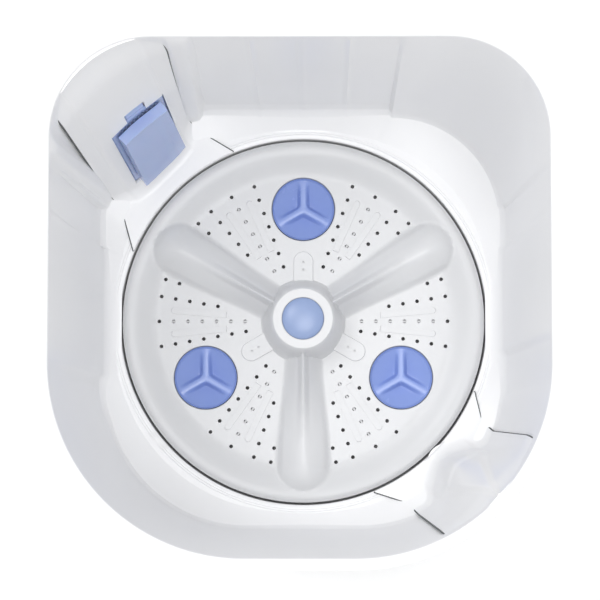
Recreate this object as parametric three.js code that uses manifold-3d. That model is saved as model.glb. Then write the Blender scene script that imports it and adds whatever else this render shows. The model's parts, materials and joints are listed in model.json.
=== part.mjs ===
// A compact single-tub top-loading washing machine with its lid lifted off.
// The rounded-square wash tub hangs by its flange in a plastic cabinet. A belt-driven pulsator with three
// free-spinning rollers turns in a round recess in the tub floor. One corner of the tub holds the circulation
// duct with its lint filter, the opposite corner holds the overflow, and the base holds motor, valve and controls.
// Millimetres. X to the right, Y to the back, Z up. The origin is on the ground under the middle of the machine.
import * as THREE from "three";
import { mergeVertices } from "three/addons/utils/BufferGeometryUtils.js";
import Module from "manifold-3d";

const wasm = await Module();
wasm.setup();

// ---- Driving dimensions ----
const WIDTH = 462;
const DEPTH = 479;
const RIM_Z = 700;
const BACK_CORNER_R = 99;
const FRONT_CORNER_R = 182;
const GAP = 0.3; // between pieces that touch
const RUNNING_FIT = 0.09; // radial play of a shaft in its bearing

const RIM_WIDTH = 10.5;
const TUB_WALL = 2.8;
const SKIRT_HEIGHT = 18;
const TUB_DEPTH = 372; // rim to tub floor
const TUB_DRAFT = 12.5; // how far the wall comes in from rim to floor
const FLOOR_BACK_R = 115;
const FLOOR_FRONT_R = 150;
const FLOOR_FILLET = 18;

const PULSATOR_R = 189;
const PULSATOR_GAP = 2.5;
const RECESS_DEPTH = 40;
const PULSATOR_DROP = 6; // hole plane below the tub floor
const DISH_RISE = 8;
const PULSATOR_WALL = 3;
const HUB_R = 29;
const HUB_HEIGHT = 50;
const HUB_BOSS_R = 22;
const HUB_BORE_R = 19.5;
const ARM_HALF_WIDTH = 25;
const ARM_HEIGHT = 40;
const ARM_TIP_HEIGHT = 19;
const ARM_REACH = 176;
const VANE_COUNT = 6;
const VANE_HEIGHT = 15;
const VANE_LENGTH = 130;

const ROLLER_RADIUS = 32.5;
const ROLLER_ORBIT = 118;
const ROLLER_GAP = 1;
const ROLLER_HEIGHT = 18;
const ROLLER_WALL = 2.5;
const ROLLER_STUB_R = 4.5;

const SHAFT_R = 8;
const SHAFT_TOP_Z = 344.5;
const SHAFT_BOTTOM_Z = 100;
const BUSH_R = 15;
const BUSH_LENGTH = 25;
const HOUSING_R = 24;
const HOUSING_FLANGE_R = 60;
const HOUSING_FLANGE = 6;
const HOUSING_BOTTOM_Z = 150;
const HOUSING_BOLT_ORBIT = 48;
const HOUSING_BOLT_R = 3;
const GASKET = 6.4;

const BRACKET = 3.2;
const MOTOR_Y = 135;
const MOTOR_R = 52;
const MOTOR_TOP_Z = 250;
const MOTOR_BOTTOM_Z = 160;
const MOTOR_LUG_R = 64;
const MOTOR_BOLT_ORBIT = 57.8;
const MOTOR_BOLT_R = 2.8;
const LUG_THICKNESS = 4;
const MOTOR_SHAFT_R = 6;
const ROTOR_R = 28.5;
const MOTOR_SHAFT_END_Z = 108;

const BELT_Z = 121;
const BELT_WIDTH = 8;
const BELT_THICKNESS = 7;
const PULLEY_WIDTH = 18;
const DRIVE_PITCH_R = 70;
const MOTOR_PITCH_R = 14;

const CABINET_INSET = 3;
const CABINET_WALL = 3;
const CABINET_BOTTOM_Z = 48;
const BASE_BOTTOM_Z = 22;
const BASE_FLOOR = 3;
const BASE_LIP = 12;
const FOOT_R = 20;
const FOOT_STUD_R = 5;

const PANEL_Z = 213.6;
const PANEL_WIDTH = 208;
const PANEL_HEIGHT = 84;
const PANEL_THICKNESS = 3;
const POCKET_FLOOR_Y = -222;
const POCKET_MARGIN = 4;
const TIMER_X = -58;
const SELECTOR_X = 35;
const LAMP_X = 80;
const KNOB_R = 22;
const KNOB_SKIRT = 7;
const KNOB_GRIP = 8;
const TIMER_DEPTH = 34;
const SWITCH_DEPTH = 24;
const KNOB_SHAFT_R = 3.5;
const DRUM_R = 8;

const VALVE_Y = -158;
const VALVE_Z = 205;
const PORT_X = 84;
const PORT_R = 9;
const VALVE_CHAMBER_R = 17;
const VALVE_WALL = 3;
const VALVE_TRAVEL = 12.6;
const OVERFLOW_X = 159.5;
const OVERFLOW_R = 8;
const OVERFLOW_TOP_Z = 480;
const SPIGOT_Z = 100;
const SPIGOT_R = 11;
const SPIGOT_Y = -90;
const SPIGOT_END_X = 222;

const DUCT_HALF_WIDTH = 57;
const DUCT_SHIFT_FLOOR = 6; // the duct sits this far round towards the back wall
const DUCT_SHIFT_RIM = 18;
const DUCT_BULGE = 27;
const OVERFLOW_HALF_WIDTH = 57;
const OVERFLOW_BULGE = 26;
const COVER_RIM_BULGE = 3;
const COVER_HALF_ANGLE = 22.5; // of the covers' edge at the pulsator
const COVER_WALL = 2.5;
const FILTER_WIDTH = 64;
const FILTER_BOTTOM_Z = 352;
const FILTER_HEIGHT = 163;
const FILTER_SHIFT_LOW = 11;
const FILTER_SHIFT_HIGH = 20;
const LATCH_WIDTH = 22;
const LATCH_HEIGHT = 20;
const FILTER_CLEARANCE = 0.8;
const CAGE_DEPTH = 11;

const GRIP_LENGTH = 110;
const GRIP_HEIGHT = 32;
const GRIP_DEPTH = 26;
const GRIP_Z = 240;

// ---- Levels that follow from them ----
const FLOOR_Z = RIM_Z - TUB_DEPTH;
const RECESS_Z = FLOOR_Z - RECESS_DEPTH;
const RECESS_UNDER_Z = RECESS_Z - TUB_WALL;
const RECESS_R = PULSATOR_R + PULSATOR_GAP;
const HOLE_PLANE_Z = FLOOR_Z - PULSATOR_DROP;
const HUB_TOP_Z = HOLE_PLANE_Z + HUB_HEIGHT;
const FLANGE_TOP_Z = RECESS_UNDER_Z - GASKET - 2 * GAP;
const FLANGE_BOTTOM_Z = FLANGE_TOP_Z - HOUSING_FLANGE;
const BRACKET_TOP_Z = FLANGE_BOTTOM_Z - GAP;
const BRACKET_BOTTOM_Z = BRACKET_TOP_Z - BRACKET;
const SOCKET_FLOOR_Z = HOLE_PLANE_Z - ROLLER_HEIGHT - ROLLER_WALL;

// ---- Colours ----
const plastic = (color, roughness = 0.35) => new THREE.MeshStandardMaterial({ color, roughness, metalness: 0 });
const metal = (color, roughness = 0.4) => new THREE.MeshStandardMaterial({ color, roughness, metalness: 1 });
const WHITE_GLOSS = plastic(0xf2f3f4, 0.25);
const WHITE_BODY = plastic(0xeef0f1, 0.4);
const BLUE = plastic(0x8fa6dc, 0.3);
const PALE_BLUE = plastic(0xa9b9e6, 0.3);
const GREY = plastic(0xa7adb5, 0.5);
const DARK = plastic(0x33363a, 0.6);
const RUBBER = plastic(0x222222, 0.9);
const STEEL = metal(0xb9bcc0);
const ALUMINIUM = metal(0xc4c7ca, 0.5);
const BRONZE = metal(0xb08d57, 0.5);
const COPPER = metal(0xb87333, 0.45);

// ---- Geometry helpers ----
const ROUND = 16; // sides of a middling round piece
const BEARING_SIDES = 24; // sides of a shaft and of the bore that it turns in
const radians = (degrees) => (degrees * Math.PI) / 180;
const clamp01 = (x) => Math.min(1, Math.max(0, x));
const smooth = (from, to, x) => {
  const t = clamp01((x - from) / (to - from));
  return t * t * (3 - 2 * t);
};
const mix = (a, b, t) => a + (b - a) * t;
const stations = (count) => Array.from({ length: count + 1 }, (_, i) => i / count);

function signedVolume(position, index) {
  let sum = 0;
  const [a, b, c] = [new THREE.Vector3(), new THREE.Vector3(), new THREE.Vector3()];
  for (let i = 0; i < index.length; i += 3) {
    a.fromBufferAttribute(position, index[i]);
    b.fromBufferAttribute(position, index[i + 1]);
    c.fromBufferAttribute(position, index[i + 2]);
    sum += a.dot(b.cross(c));
  }
  return sum;
}

// A closed three.js geometry as a manifold-3d solid, with its faces turned outwards.
function solid(geometry) {
  const bare = geometry.clone();
  bare.deleteAttribute("normal");
  bare.deleteAttribute("uv");
  const merged = mergeVertices(bare, 1e-4);
  const triVerts = new Uint32Array(merged.index.array);
  if (signedVolume(merged.attributes.position, triVerts) < 0)
    for (let i = 0; i < triVerts.length; i += 3)
      [triVerts[i + 1], triVerts[i + 2]] = [triVerts[i + 2], triVerts[i + 1]];
  return new wasm.Manifold(
    new wasm.Mesh({ numProp: 3, vertProperties: merged.attributes.position.array, triVerts }),
  );
}

function geometryOf(made) {
  const mesh = made.getMesh();
  const geometry = new THREE.BufferGeometry();
  geometry.setAttribute("position", new THREE.BufferAttribute(new Float32Array(mesh.vertProperties), 3));
  geometry.setIndex(new THREE.BufferAttribute(new Uint32Array(mesh.triVerts), 1));
  geometry.computeVertexNormals();
  return geometry;
}

// A group that holds the meshes of one assembly about its own axis.
function assembly(parent, x = 0, y = 0, z = 0) {
  const group = new THREE.Group();
  group.position.set(x, y, z);
  parent.add(group);
  return group;
}

function addMesh(group, name, material, made, x = 0, y = 0, z = 0) {
  const mesh = new THREE.Mesh(geometryOf(made), material);
  mesh.name = name;
  mesh.position.set(x, y, z);
  group.add(mesh);
}

const join = (...solids) => solids.reduce((sum, next) => sum.add(next));
const cut = (from, ...tools) => tools.reduce((rest, tool) => rest.subtract(tool), from);

// A box by its lowest and highest corners.
function box(low, high) {
  const [x, y, z] = high.map((value, i) => value - low[i]);
  const geometry = new THREE.BoxGeometry(x, y, z);
  geometry.translate(...high.map((value, i) => (value + low[i]) / 2));
  return solid(geometry);
}

// An upright cylinder from one height to another.
function post(x, y, from, to, radius, sides = ROUND) {
  const geometry = new THREE.CylinderGeometry(radius, radius, to - from, sides);
  geometry.rotateX(Math.PI / 2);
  geometry.translate(x, y, (from + to) / 2);
  return solid(geometry);
}

// A cylinder lying along X or along Y.
function rodX(y, z, from, to, radius, sides = ROUND) {
  const geometry = new THREE.CylinderGeometry(radius, radius, to - from, sides);
  geometry.rotateZ(Math.PI / 2);
  geometry.translate((from + to) / 2, y, z);
  return solid(geometry);
}
function rodY(x, z, from, to, radius, sides = ROUND) {
  const geometry = new THREE.CylinderGeometry(radius, radius, to - from, sides);
  geometry.translate(x, (from + to) / 2, z);
  return solid(geometry);
}

const ring = (x, y, from, to, inner, outer, sides = ROUND) =>
  cut(post(x, y, from, to, outer, sides), post(x, y, from - 1, to + 1, inner, sides));

// A turned piece about an upright axis. The profile is [radius, height] pairs that close on themselves.
function turned(profile, sides = ROUND) {
  const points = [...profile, profile[0]].map(([r, z]) => new THREE.Vector2(r, z));
  const geometry = new THREE.LatheGeometry(points, sides);
  geometry.rotateX(Math.PI / 2);
  return solid(geometry);
}

// ---- The rounded-square outline that the whole machine follows ----
const CORNER_STEPS = 7;
const SIDE_STEPS = 3;

function outline(inset, z, backR = BACK_CORNER_R - inset, frontR = FRONT_CORNER_R - inset) {
  const a = WIDTH / 2 - inset;
  const b = DEPTH / 2 - inset;
  const corners = [
    [a - backR, b - backR, backR, 0],
    [backR - a, b - backR, backR, 90],
    [frontR - a, frontR - b, frontR, 180],
    [a - frontR, frontR - b, frontR, 270],
  ];
  const points = [];
  corners.forEach(([x, y, r, start], k) => {
    for (let i = 0; i <= CORNER_STEPS; i++) {
      const t = radians(start + (90 * i) / CORNER_STEPS);
      points.push(new THREE.Vector3(x + r * Math.cos(t), y + r * Math.sin(t), z));
    }
    const [nx, ny, nr, nStart] = corners[(k + 1) % 4];
    const next = radians(nStart);
    const to = new THREE.Vector3(nx + nr * Math.cos(next), ny + nr * Math.sin(next), z);
    const from = points[points.length - 1];
    for (let i = 1; i < SIDE_STEPS; i++) points.push(from.clone().lerp(to, i / SIDE_STEPS));
  });
  return points;
}

// A circle whose points lie in line with the points of the tub floor's outline.
const FLOOR_INSET = RIM_WIDTH + TUB_DRAFT;
const floorOutline = outline(FLOOR_INSET, 0, FLOOR_BACK_R, FLOOR_FRONT_R);
const circle = (r, z) =>
  floorOutline.map((p) => new THREE.Vector3(p.x, p.y, 0).setLength(r).setZ(z));

// The skin through a list of outlines. Closed ends get a flat cap; a looped list closes on itself.
function skin(rings, looped) {
  const count = rings[0].length;
  const positions = rings.flat().flatMap((p) => [p.x, p.y, p.z]);
  const index = [];
  const last = looped ? rings.length : rings.length - 1;
  for (let i = 0; i < last; i++) {
    const j = (i + 1) % rings.length;
    for (let k = 0; k < count; k++) {
      const m = (k + 1) % count;
      const [p, q, r, s] = [i * count + k, i * count + m, j * count + m, j * count + k];
      index.push(p, q, r, p, r, s);
    }
  }
  if (!looped) {
    const top = (rings.length - 1) * count;
    for (let k = 1; k < count - 1; k++) {
      index.push(0, k + 1, k);
      index.push(top, top + k, top + k + 1);
    }
  }
  const geometry = new THREE.BufferGeometry();
  geometry.setAttribute("position", new THREE.Float32BufferAttribute(positions, 3));
  geometry.setIndex(index);
  return solid(geometry);
}

// A curved sheet, from a function of two numbers that each run from 0 to 1. It starts some way behind that surface.
function sheet(surface, acrossStations, alongStations, thickness, start = 0) {
  const step = 1e-3;
  const front = [];
  const back = [];
  for (const v of alongStations)
    for (const u of acrossStations) {
      const p = surface(u, v);
      const du = surface(Math.min(1, u + step), v).sub(surface(Math.max(0, u - step), v));
      const dv = surface(u, Math.min(1, v + step)).sub(surface(u, Math.max(0, v - step)));
      const inwards = du.cross(dv).normalize();
      front.push(p.clone().addScaledVector(inwards, -start));
      back.push(p.clone().addScaledVector(inwards, -start - thickness));
    }
  const across = acrossStations.length - 1;
  const along = alongStations.length - 1;
  const width = across + 1;
  const total = front.length;
  const index = [];
  const quad = (a, b, c, d) => index.push(a, b, c, a, c, d);
  for (let j = 0; j < along; j++)
    for (let i = 0; i < across; i++) {
      const a = j * width + i;
      quad(a, a + 1, a + width + 1, a + width);
      quad(total + a, total + a + width, total + a + width + 1, total + a + 1);
    }
  const edge = [];
  for (let i = 0; i < across; i++) edge.push(i);
  for (let j = 0; j < along; j++) edge.push(j * width + across);
  for (let i = across; i > 0; i--) edge.push(along * width + i);
  for (let j = along; j > 0; j--) edge.push(j * width);
  edge.forEach((a, k) => {
    const b = edge[(k + 1) % edge.length];
    quad(b, a, total + a, total + b);
  });
  const geometry = new THREE.BufferGeometry();
  const positions = [...front, ...back].flatMap((p) => p.toArray());
  geometry.setAttribute("position", new THREE.Float32BufferAttribute(positions, 3));
  geometry.setIndex(index);
  return solid(geometry);
}

// ---- The two tub corners that carry covers ----
// A point given by its distance from the machine's middle along a diagonal, and by its offset across it.
const diagonal = (degrees) => {
  const out = new THREE.Vector3(Math.cos(radians(degrees)), Math.sin(radians(degrees)), 0);
  const side = new THREE.Vector3(out.y, -out.x, 0);
  return (distance, offset, z) => out.clone().multiplyScalar(distance).addScaledVector(side, offset).setZ(z);
};

// How far the tub wall is from the middle, on the line across a diagonal, at an offset and a height.
function wallDistance(offset, z, rimR, floorR) {
  const sunk = clamp01((RIM_Z - z) / (TUB_DEPTH - FLOOR_FILLET));
  const inset = mix(RIM_WIDTH, FLOOR_INSET, sunk);
  const cornerR = mix(rimR - RIM_WIDTH, floorR, sunk);
  const [cx, cy] = [WIDTH / 2 - inset - cornerR, DEPTH / 2 - inset - cornerR];
  const s = offset + (cx - cy) / Math.SQRT2;
  return (cx + cy) / Math.SQRT2 + Math.sqrt(Math.max(0, cornerR * cornerR - s * s));
}
const backCorner = (offset, z) => wallDistance(offset, z, BACK_CORNER_R, FLOOR_BACK_R);
const frontCorner = (offset, z) => wallDistance(offset, z, FRONT_CORNER_R, FLOOR_FRONT_R);

const COVER_TOP_Z = RIM_Z - 4;
const COVER_OFF_WALL = COVER_WALL + 1.2; // the face stands this far in from the tub wall at its borders
const COVER_EDGE_R = RECESS_R + 1;
const COVER_LIFT = COVER_WALL + GAP;
const COVER_FILLET = FLOOR_FILLET - COVER_LIFT;
const COVER_FOOT_Z = FLOOR_Z + COVER_LIFT;
const COVER_WALL_SHARE = 0.6; // of the run from the rim to the pulsator
const COVER_FLOOR_SHARE = 0.2;
const ACROSS = stations(10);
const ALONG = [0, 0.1, 0.2, 0.3, 0.4, 0.5, 0.6, 0.65, 0.7, 0.75, 0.8, 1];

// The run that both corner covers share: down the wall, round a fillet, then along the floor to the pulsator.
// shape.face(s, z) is the face's distance from the middle, and shape.offset(s, z) its place across the diagonal.
function coverSurface(shape) {
  return (u, v) => {
    const s = 2 * u - 1;
    const filletTop = COVER_FOOT_Z + COVER_FILLET;
    if (v <= COVER_WALL_SHARE) {
      const z = mix(COVER_TOP_Z, filletTop, v / COVER_WALL_SHARE);
      return shape.point(shape.face(s, z), shape.offset(s, z), z);
    }
    const foot = shape.face(s, filletTop);
    const offset = shape.offset(s, filletTop);
    const floorStart = 1 - COVER_FLOOR_SHARE;
    if (v <= floorStart) {
      const turn = ((v - COVER_WALL_SHARE) / (floorStart - COVER_WALL_SHARE)) * (Math.PI / 2);
      const d = foot - COVER_FILLET * (1 - Math.cos(turn));
      return shape.point(d, offset, COVER_FOOT_Z + COVER_FILLET * (1 - Math.sin(turn)));
    }
    const angle = radians(COVER_HALF_ANGLE) * s;
    const rim = shape.point(COVER_EDGE_R * Math.cos(angle), COVER_EDGE_R * Math.sin(angle), COVER_FOOT_Z);
    return shape.point(foot - COVER_FILLET, offset, COVER_FOOT_Z).lerp(rim, (v - floorStart) / COVER_FLOOR_SHARE);
  };
}

const heightShare = (z) => clamp01((z - FLOOR_Z) / TUB_DEPTH);
const duct = {
  point: diagonal(135),
  offset: (s, z) => DUCT_HALF_WIDTH * s + mix(DUCT_SHIFT_FLOOR, DUCT_SHIFT_RIM, heightShare(z)),
  face: (s, z) => {
    const bulge = mix(DUCT_BULGE, COVER_RIM_BULGE, heightShare(z)) * (1 - Math.pow(Math.abs(s), 2.5));
    return backCorner(duct.offset(s, z), z) - COVER_OFF_WALL - bulge;
  },
};
const overflow = {
  point: diagonal(-45),
  offset: (s) => OVERFLOW_HALF_WIDTH * s,
  face: (s, z) => {
    const most = mix(OVERFLOW_BULGE, COVER_RIM_BULGE, smooth(0.4, 0.95, heightShare(z)));
    const bulge = most * (1 - smooth(0, 0.85, Math.abs(s)));
    return frontCorner(overflow.offset(s), z) - COVER_OFF_WALL - bulge;
  },
};

// A prism through the duct, centred at one offset at its foot and at another at its top.
function ductPrism([near, far], half, [footOffset, topOffset], [low, high]) {
  const corners = [
    [near, -half],
    [near, half],
    [far, half],
    [far, -half],
  ];
  const level = (shift, z) => corners.map(([d, offset]) => duct.point(d, offset + shift, z));
  return skin([level(footOffset, low), level(topOffset, high)], false);
}

// ---- Tub ----
const CHANNEL_HALF = 30;
const CHANNEL_DEPTH = 20;

function washTub() {
  const wallUnder = RIM_WIDTH - TUB_WALL;
  const fillet = (t) =>
    outline(
      FLOOR_INSET + FLOOR_FILLET * (1 - Math.cos(t)),
      FLOOR_Z + FLOOR_FILLET * (1 - Math.sin(t)),
      FLOOR_BACK_R - FLOOR_FILLET * (1 - Math.cos(t)),
      FLOOR_FRONT_R - FLOOR_FILLET * (1 - Math.cos(t)),
    );
  const body = skin(
    [
      circle(HOUSING_R + 2, RECESS_UNDER_Z),
      circle(RECESS_R + TUB_WALL, RECESS_UNDER_Z),
      circle(RECESS_R + TUB_WALL, FLOOR_Z - TUB_WALL),
      outline(FLOOR_INSET - TUB_WALL, FLOOR_Z - TUB_WALL, FLOOR_BACK_R + TUB_WALL, FLOOR_FRONT_R + TUB_WALL),
      outline(wallUnder, RIM_Z - TUB_WALL),
      outline(TUB_WALL, RIM_Z - TUB_WALL),
      outline(TUB_WALL, RIM_Z - SKIRT_HEIGHT),
      outline(0, RIM_Z - SKIRT_HEIGHT),
      outline(0, RIM_Z - 1.5),
      outline(1.5, RIM_Z),
      outline(RIM_WIDTH - 1.5, RIM_Z),
      outline(RIM_WIDTH, RIM_Z - 1.5),
      fillet(0),
      fillet(radians(45)),
      fillet(radians(90)),
      circle(RECESS_R + 2, FLOOR_Z),
      circle(RECESS_R, FLOOR_Z - 2),
      circle(RECESS_R, RECESS_Z),
      circle(HOUSING_R + 2, RECESS_Z),
    ],
    true,
  );
  const seat = ring(0, 0, RECESS_Z - 1, RECESS_Z + 6, HOUSING_R + 2, HOUSING_FLANGE_R + 2);
  const boltHoles = boltPlaces().map(([x, y]) =>
    post(x, y, RECESS_UNDER_Z - 1, RECESS_Z + 3, HOUSING_BOLT_R + GAP, 10),
  );
  const channelEnd = 237;
  const shift = [DUCT_SHIFT_FLOOR, DUCT_SHIFT_FLOOR];
  const channelOuter = ductPrism(
    [RECESS_R + 1, channelEnd],
    CHANNEL_HALF + TUB_WALL,
    shift,
    [FLOOR_Z - CHANNEL_DEPTH - TUB_WALL, FLOOR_Z - 1],
  );
  const channelInner = ductPrism(
    [RECESS_R - 8, channelEnd - TUB_WALL],
    CHANNEL_HALF,
    shift,
    [FLOOR_Z - CHANNEL_DEPTH, FLOOR_Z + 1],
  );
  const portNeck = post(PORT_X, VALVE_Y, RECESS_UNDER_Z - 23, RECESS_Z - 1, PORT_R + 2.5);
  const port = post(PORT_X, VALVE_Y, RECESS_UNDER_Z - 30, RECESS_Z + 5, PORT_R);
  const overflowHole = post(OVERFLOW_X, -OVERFLOW_X, FLOOR_Z - 10, FLOOR_Z + 10, OVERFLOW_R + GAP);
  return cut(join(body, seat, channelOuter, portNeck), channelInner, port, overflowHole, ...boltHoles);
}

const boltPlaces = () =>
  [30, 150, 270].map((degrees) => [
    HOUSING_BOLT_ORBIT * Math.cos(radians(degrees)),
    HOUSING_BOLT_ORBIT * Math.sin(radians(degrees)),
  ]);

// The lean of the filter's middle line, carried on past the filter's ends.
const filterShift = (z) => mix(FILTER_SHIFT_LOW, FILTER_SHIFT_HIGH, (z - FILTER_BOTTOM_Z) / FILTER_HEIGHT);
const FILTER_TOP_Z = FILTER_BOTTOM_Z + FILTER_HEIGHT;
const LATCH_LOW_Z = FILTER_TOP_Z + 1;

function ductCover() {
  const opening = (half, low, high) => ductPrism([150, 300], half, [filterShift(low), filterShift(high)], [low, high]);
  return cut(
    sheet(coverSurface(duct), ACROSS, ALONG, COVER_WALL),
    opening(FILTER_WIDTH / 2 + FILTER_CLEARANCE, FILTER_BOTTOM_Z - FILTER_CLEARANCE, FILTER_TOP_Z + FILTER_CLEARANCE),
    opening(LATCH_WIDTH / 2 + FILTER_CLEARANCE, FILTER_TOP_Z, LATCH_LOW_Z + LATCH_HEIGHT + 1),
  );
}

const overflowCover = () => sheet(coverSurface(overflow), ACROSS, ALONG, COVER_WALL);

// A slab that follows the duct's face, for the pieces that sit in its window.
function ductSlab(half, [low, high], [across, along], thickness, start = 0) {
  const surface = (u, v) => {
    const z = mix(high, low, v);
    const offset = mix(-half, half, u) + filterShift(z);
    const s = (offset - duct.offset(0, z)) / DUCT_HALF_WIDTH;
    return duct.point(duct.face(s, z), offset, z);
  };
  return sheet(surface, stations(across), stations(along), thickness, start);
}

const lintFilterFront = () => ductSlab(FILTER_WIDTH / 2, [FILTER_BOTTOM_Z, FILTER_TOP_Z], [8, 6], COVER_WALL);
const lintFilterLatch = () => ductSlab(LATCH_WIDTH / 2, [LATCH_LOW_Z, LATCH_LOW_Z + LATCH_HEIGHT], [3, 2], 2);

// The basket behind the filter's front, open towards it.
function lintFilterCage() {
  const half = FILTER_WIDTH / 2 - 5;
  const [low, high] = [FILTER_BOTTOM_Z + 8, FILTER_TOP_Z - 8];
  const start = COVER_WALL + GAP;
  return cut(
    ductSlab(half, [low, high], [6, 4], CAGE_DEPTH, start),
    ductSlab(half - 2, [low + 2, high - 2], [6, 4], CAGE_DEPTH - 1, start - 1),
  );
}

// ---- Pulsator ----
const ARM_ANGLES = [30, 150, 270];
const ROLLER_ANGLES = [90, 210, 330];
const polar = (r, degrees) => [r * Math.cos(radians(degrees)), r * Math.sin(radians(degrees))];

function armHeight(x, y) {
  return Math.max(
    ...ARM_ANGLES.map((degrees) => {
      const [cx, sy] = polar(1, degrees);
      const along = x * cx + y * sy;
      const across = Math.abs(y * cx - x * sy);
      if (along <= 0 || across >= ARM_HALF_WIDTH) return 0;
      const crown = Math.cos((across / ARM_HALF_WIDTH) * (Math.PI / 2));
      const height = mix(ARM_HEIGHT, ARM_TIP_HEIGHT, smooth(20, 120, along));
      const noseStart = ARM_REACH - ARM_HALF_WIDTH;
      const nose = Math.hypot(Math.max(0, along - noseStart), across) / ARM_HALF_WIDTH;
      return height * (along > noseStart ? Math.cos(Math.min(1, nose) * (Math.PI / 2)) : crown);
    }),
  );
}

function pulsatorTop(x, y) {
  const r = Math.hypot(x, y);
  const dish = DISH_RISE * smooth(148, 180, r) - 3 * smooth(183, PULSATOR_R, r);
  const hub = HUB_HEIGHT * (1 - smooth(HUB_R, HUB_R + 16, r));
  return HOLE_PLANE_Z + dish + Math.max(hub, armHeight(x, y));
}

// Degrees either side of an arm at which the pulsator's surface is sampled, closer together over the arm.
const PULSATOR_STATIONS = [-48, -38, -29, -21, -15, -10, -5, 0, 5, 10, 15, 21, 29, 38, 48, 60];

function pulsatorBody() {
  const topRadii = [HUB_BORE_R, HUB_R, HUB_R + 8, 50, 75, 105, 135, 155, 176, PULSATOR_R];
  const underRadii = [PULSATOR_R, 176, 140, 80, HUB_R + 8, HUB_BORE_R];
  const level = (r, drop) =>
    ARM_ANGLES.flatMap((degrees) =>
      PULSATOR_STATIONS.map((turn) => {
        const [x, y] = polar(r, degrees + turn);
        return new THREE.Vector3(x, y, pulsatorTop(x, y) - drop);
      }),
    );
  const top = topRadii.map((r) => level(r, 0));
  const under = underRadii.map((r) => level(r, PULSATOR_WALL));
  return skin([...top, ...under], true);
}

function pulsator() {
  const boss = join(
    post(0, 0, RECESS_Z + 15, HUB_TOP_Z - 2, HUB_BOSS_R),
    post(0, 0, HUB_TOP_Z - 5, HUB_TOP_Z, HUB_R),
  );
  const vanes = Array.from({ length: VANE_COUNT }, (_, k) => {
    const geometry = new THREE.BoxGeometry(VANE_LENGTH, 2.5, VANE_HEIGHT);
    geometry.translate(VANE_LENGTH / 2 + 20, 0, HOLE_PLANE_Z - PULSATOR_WALL - VANE_HEIGHT / 2 + 1);
    geometry.rotateZ(radians((360 * k) / VANE_COUNT));
    return solid(geometry);
  });
  const cups = ROLLER_ANGLES.map((degrees) => {
    const [x, y] = polar(ROLLER_ORBIT, degrees);
    return post(x, y, SOCKET_FLOOR_Z - ROLLER_WALL, HOLE_PLANE_Z, ROLLER_RADIUS + ROLLER_GAP + ROLLER_WALL, 20);
  });
  const hollows = ROLLER_ANGLES.flatMap((degrees) => {
    const [x, y] = polar(ROLLER_ORBIT, degrees);
    return [
      post(x, y, SOCKET_FLOOR_Z, HOLE_PLANE_Z + 30, ROLLER_RADIUS + ROLLER_GAP, 20),
      post(x, y, SOCKET_FLOOR_Z - 10, SOCKET_FLOOR_Z + 1, ROLLER_STUB_R + RUNNING_FIT, BEARING_SIDES),
    ];
  });
  return cut(
    join(pulsatorBody(), boss, ...vanes, ...cups),
    ...hollows,
    post(0, 0, RECESS_Z, SHAFT_TOP_Z + GAP, SHAFT_R + GAP),
    post(0, 0, SHAFT_TOP_Z, HUB_TOP_Z, 4.4),
    post(0, 0, SHAFT_TOP_Z + 11.5, HUB_TOP_Z + 1, HUB_BORE_R, 24),
    post(0, 0, HUB_TOP_Z - 2, HUB_TOP_Z + 1, 22, 24),
  );
}

function pulsatorScrew() {
  return join(
    post(0, 0, SHAFT_TOP_Z + 11.8, SHAFT_TOP_Z + 17.5, 9, 6),
    post(0, 0, SHAFT_TOP_Z - 9, SHAFT_TOP_Z + 12, 4),
  );
}

const hubCap = () =>
  turned(
    [
      [0, HUB_TOP_Z + 4],
      [8, HUB_TOP_Z + 3.6],
      [16, HUB_TOP_Z + 2.2],
      [20.5, HUB_TOP_Z + 0.6],
      [21.5, HUB_TOP_Z - 0.5],
      [21.5, HUB_TOP_Z - 1.7],
      [19.2, HUB_TOP_Z - 1.7],
      [19.2, HUB_TOP_Z - 8],
      [17, HUB_TOP_Z - 8],
      [17, HUB_TOP_Z - 1.7],
      [0, HUB_TOP_Z - 1.7],
    ],
    24,
  );

const ROLLER_TOP_Z = HOLE_PLANE_Z + 1;
const BARB_TOP_Z = SOCKET_FLOOR_Z - ROLLER_WALL - GAP; // the barb that holds a roller in its cup
function roller() {
  const floor = SOCKET_FLOOR_Z + 1;
  const bowl = turned([
    [0, floor],
    [ROLLER_RADIUS, floor],
    [ROLLER_RADIUS, ROLLER_TOP_Z],
    [ROLLER_RADIUS - 1.5, ROLLER_TOP_Z],
    [ROLLER_RADIUS - 7, ROLLER_TOP_Z - 7],
    [ROLLER_RADIUS * 0.45, ROLLER_TOP_Z - 11],
    [0, ROLLER_TOP_Z - 12],
  ]);
  const ribs = ROLLER_ANGLES.map((turn) => {
    const length = ROLLER_RADIUS - 1;
    const geometry = new THREE.BoxGeometry(length, 7, 11);
    geometry.translate(length / 2, 0, ROLLER_TOP_Z - 6.5);
    geometry.rotateZ(radians(turn));
    return solid(geometry);
  });
  const stub = turned(
    [
      [0, floor + 1],
      [ROLLER_STUB_R, floor + 1],
      [ROLLER_STUB_R, BARB_TOP_Z],
      [ROLLER_STUB_R + 1.5, BARB_TOP_Z],
      [ROLLER_STUB_R - 1, BARB_TOP_Z - 4],
      [0, BARB_TOP_Z - 4],
    ],
    BEARING_SIDES,
  );
  const slit = box([-0.8, -9, BARB_TOP_Z - 5], [0.8, 9, floor - 1.5]);
  return cut(join(bowl, ...ribs, stub), slit);
}

// ---- Drive ----
const driveShaft = () =>
  cut(
    post(0, 0, SHAFT_BOTTOM_Z, SHAFT_TOP_Z, SHAFT_R, BEARING_SIDES),
    post(0, 0, SHAFT_TOP_Z - 12, SHAFT_TOP_Z + 1, 4.3),
  );

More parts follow.
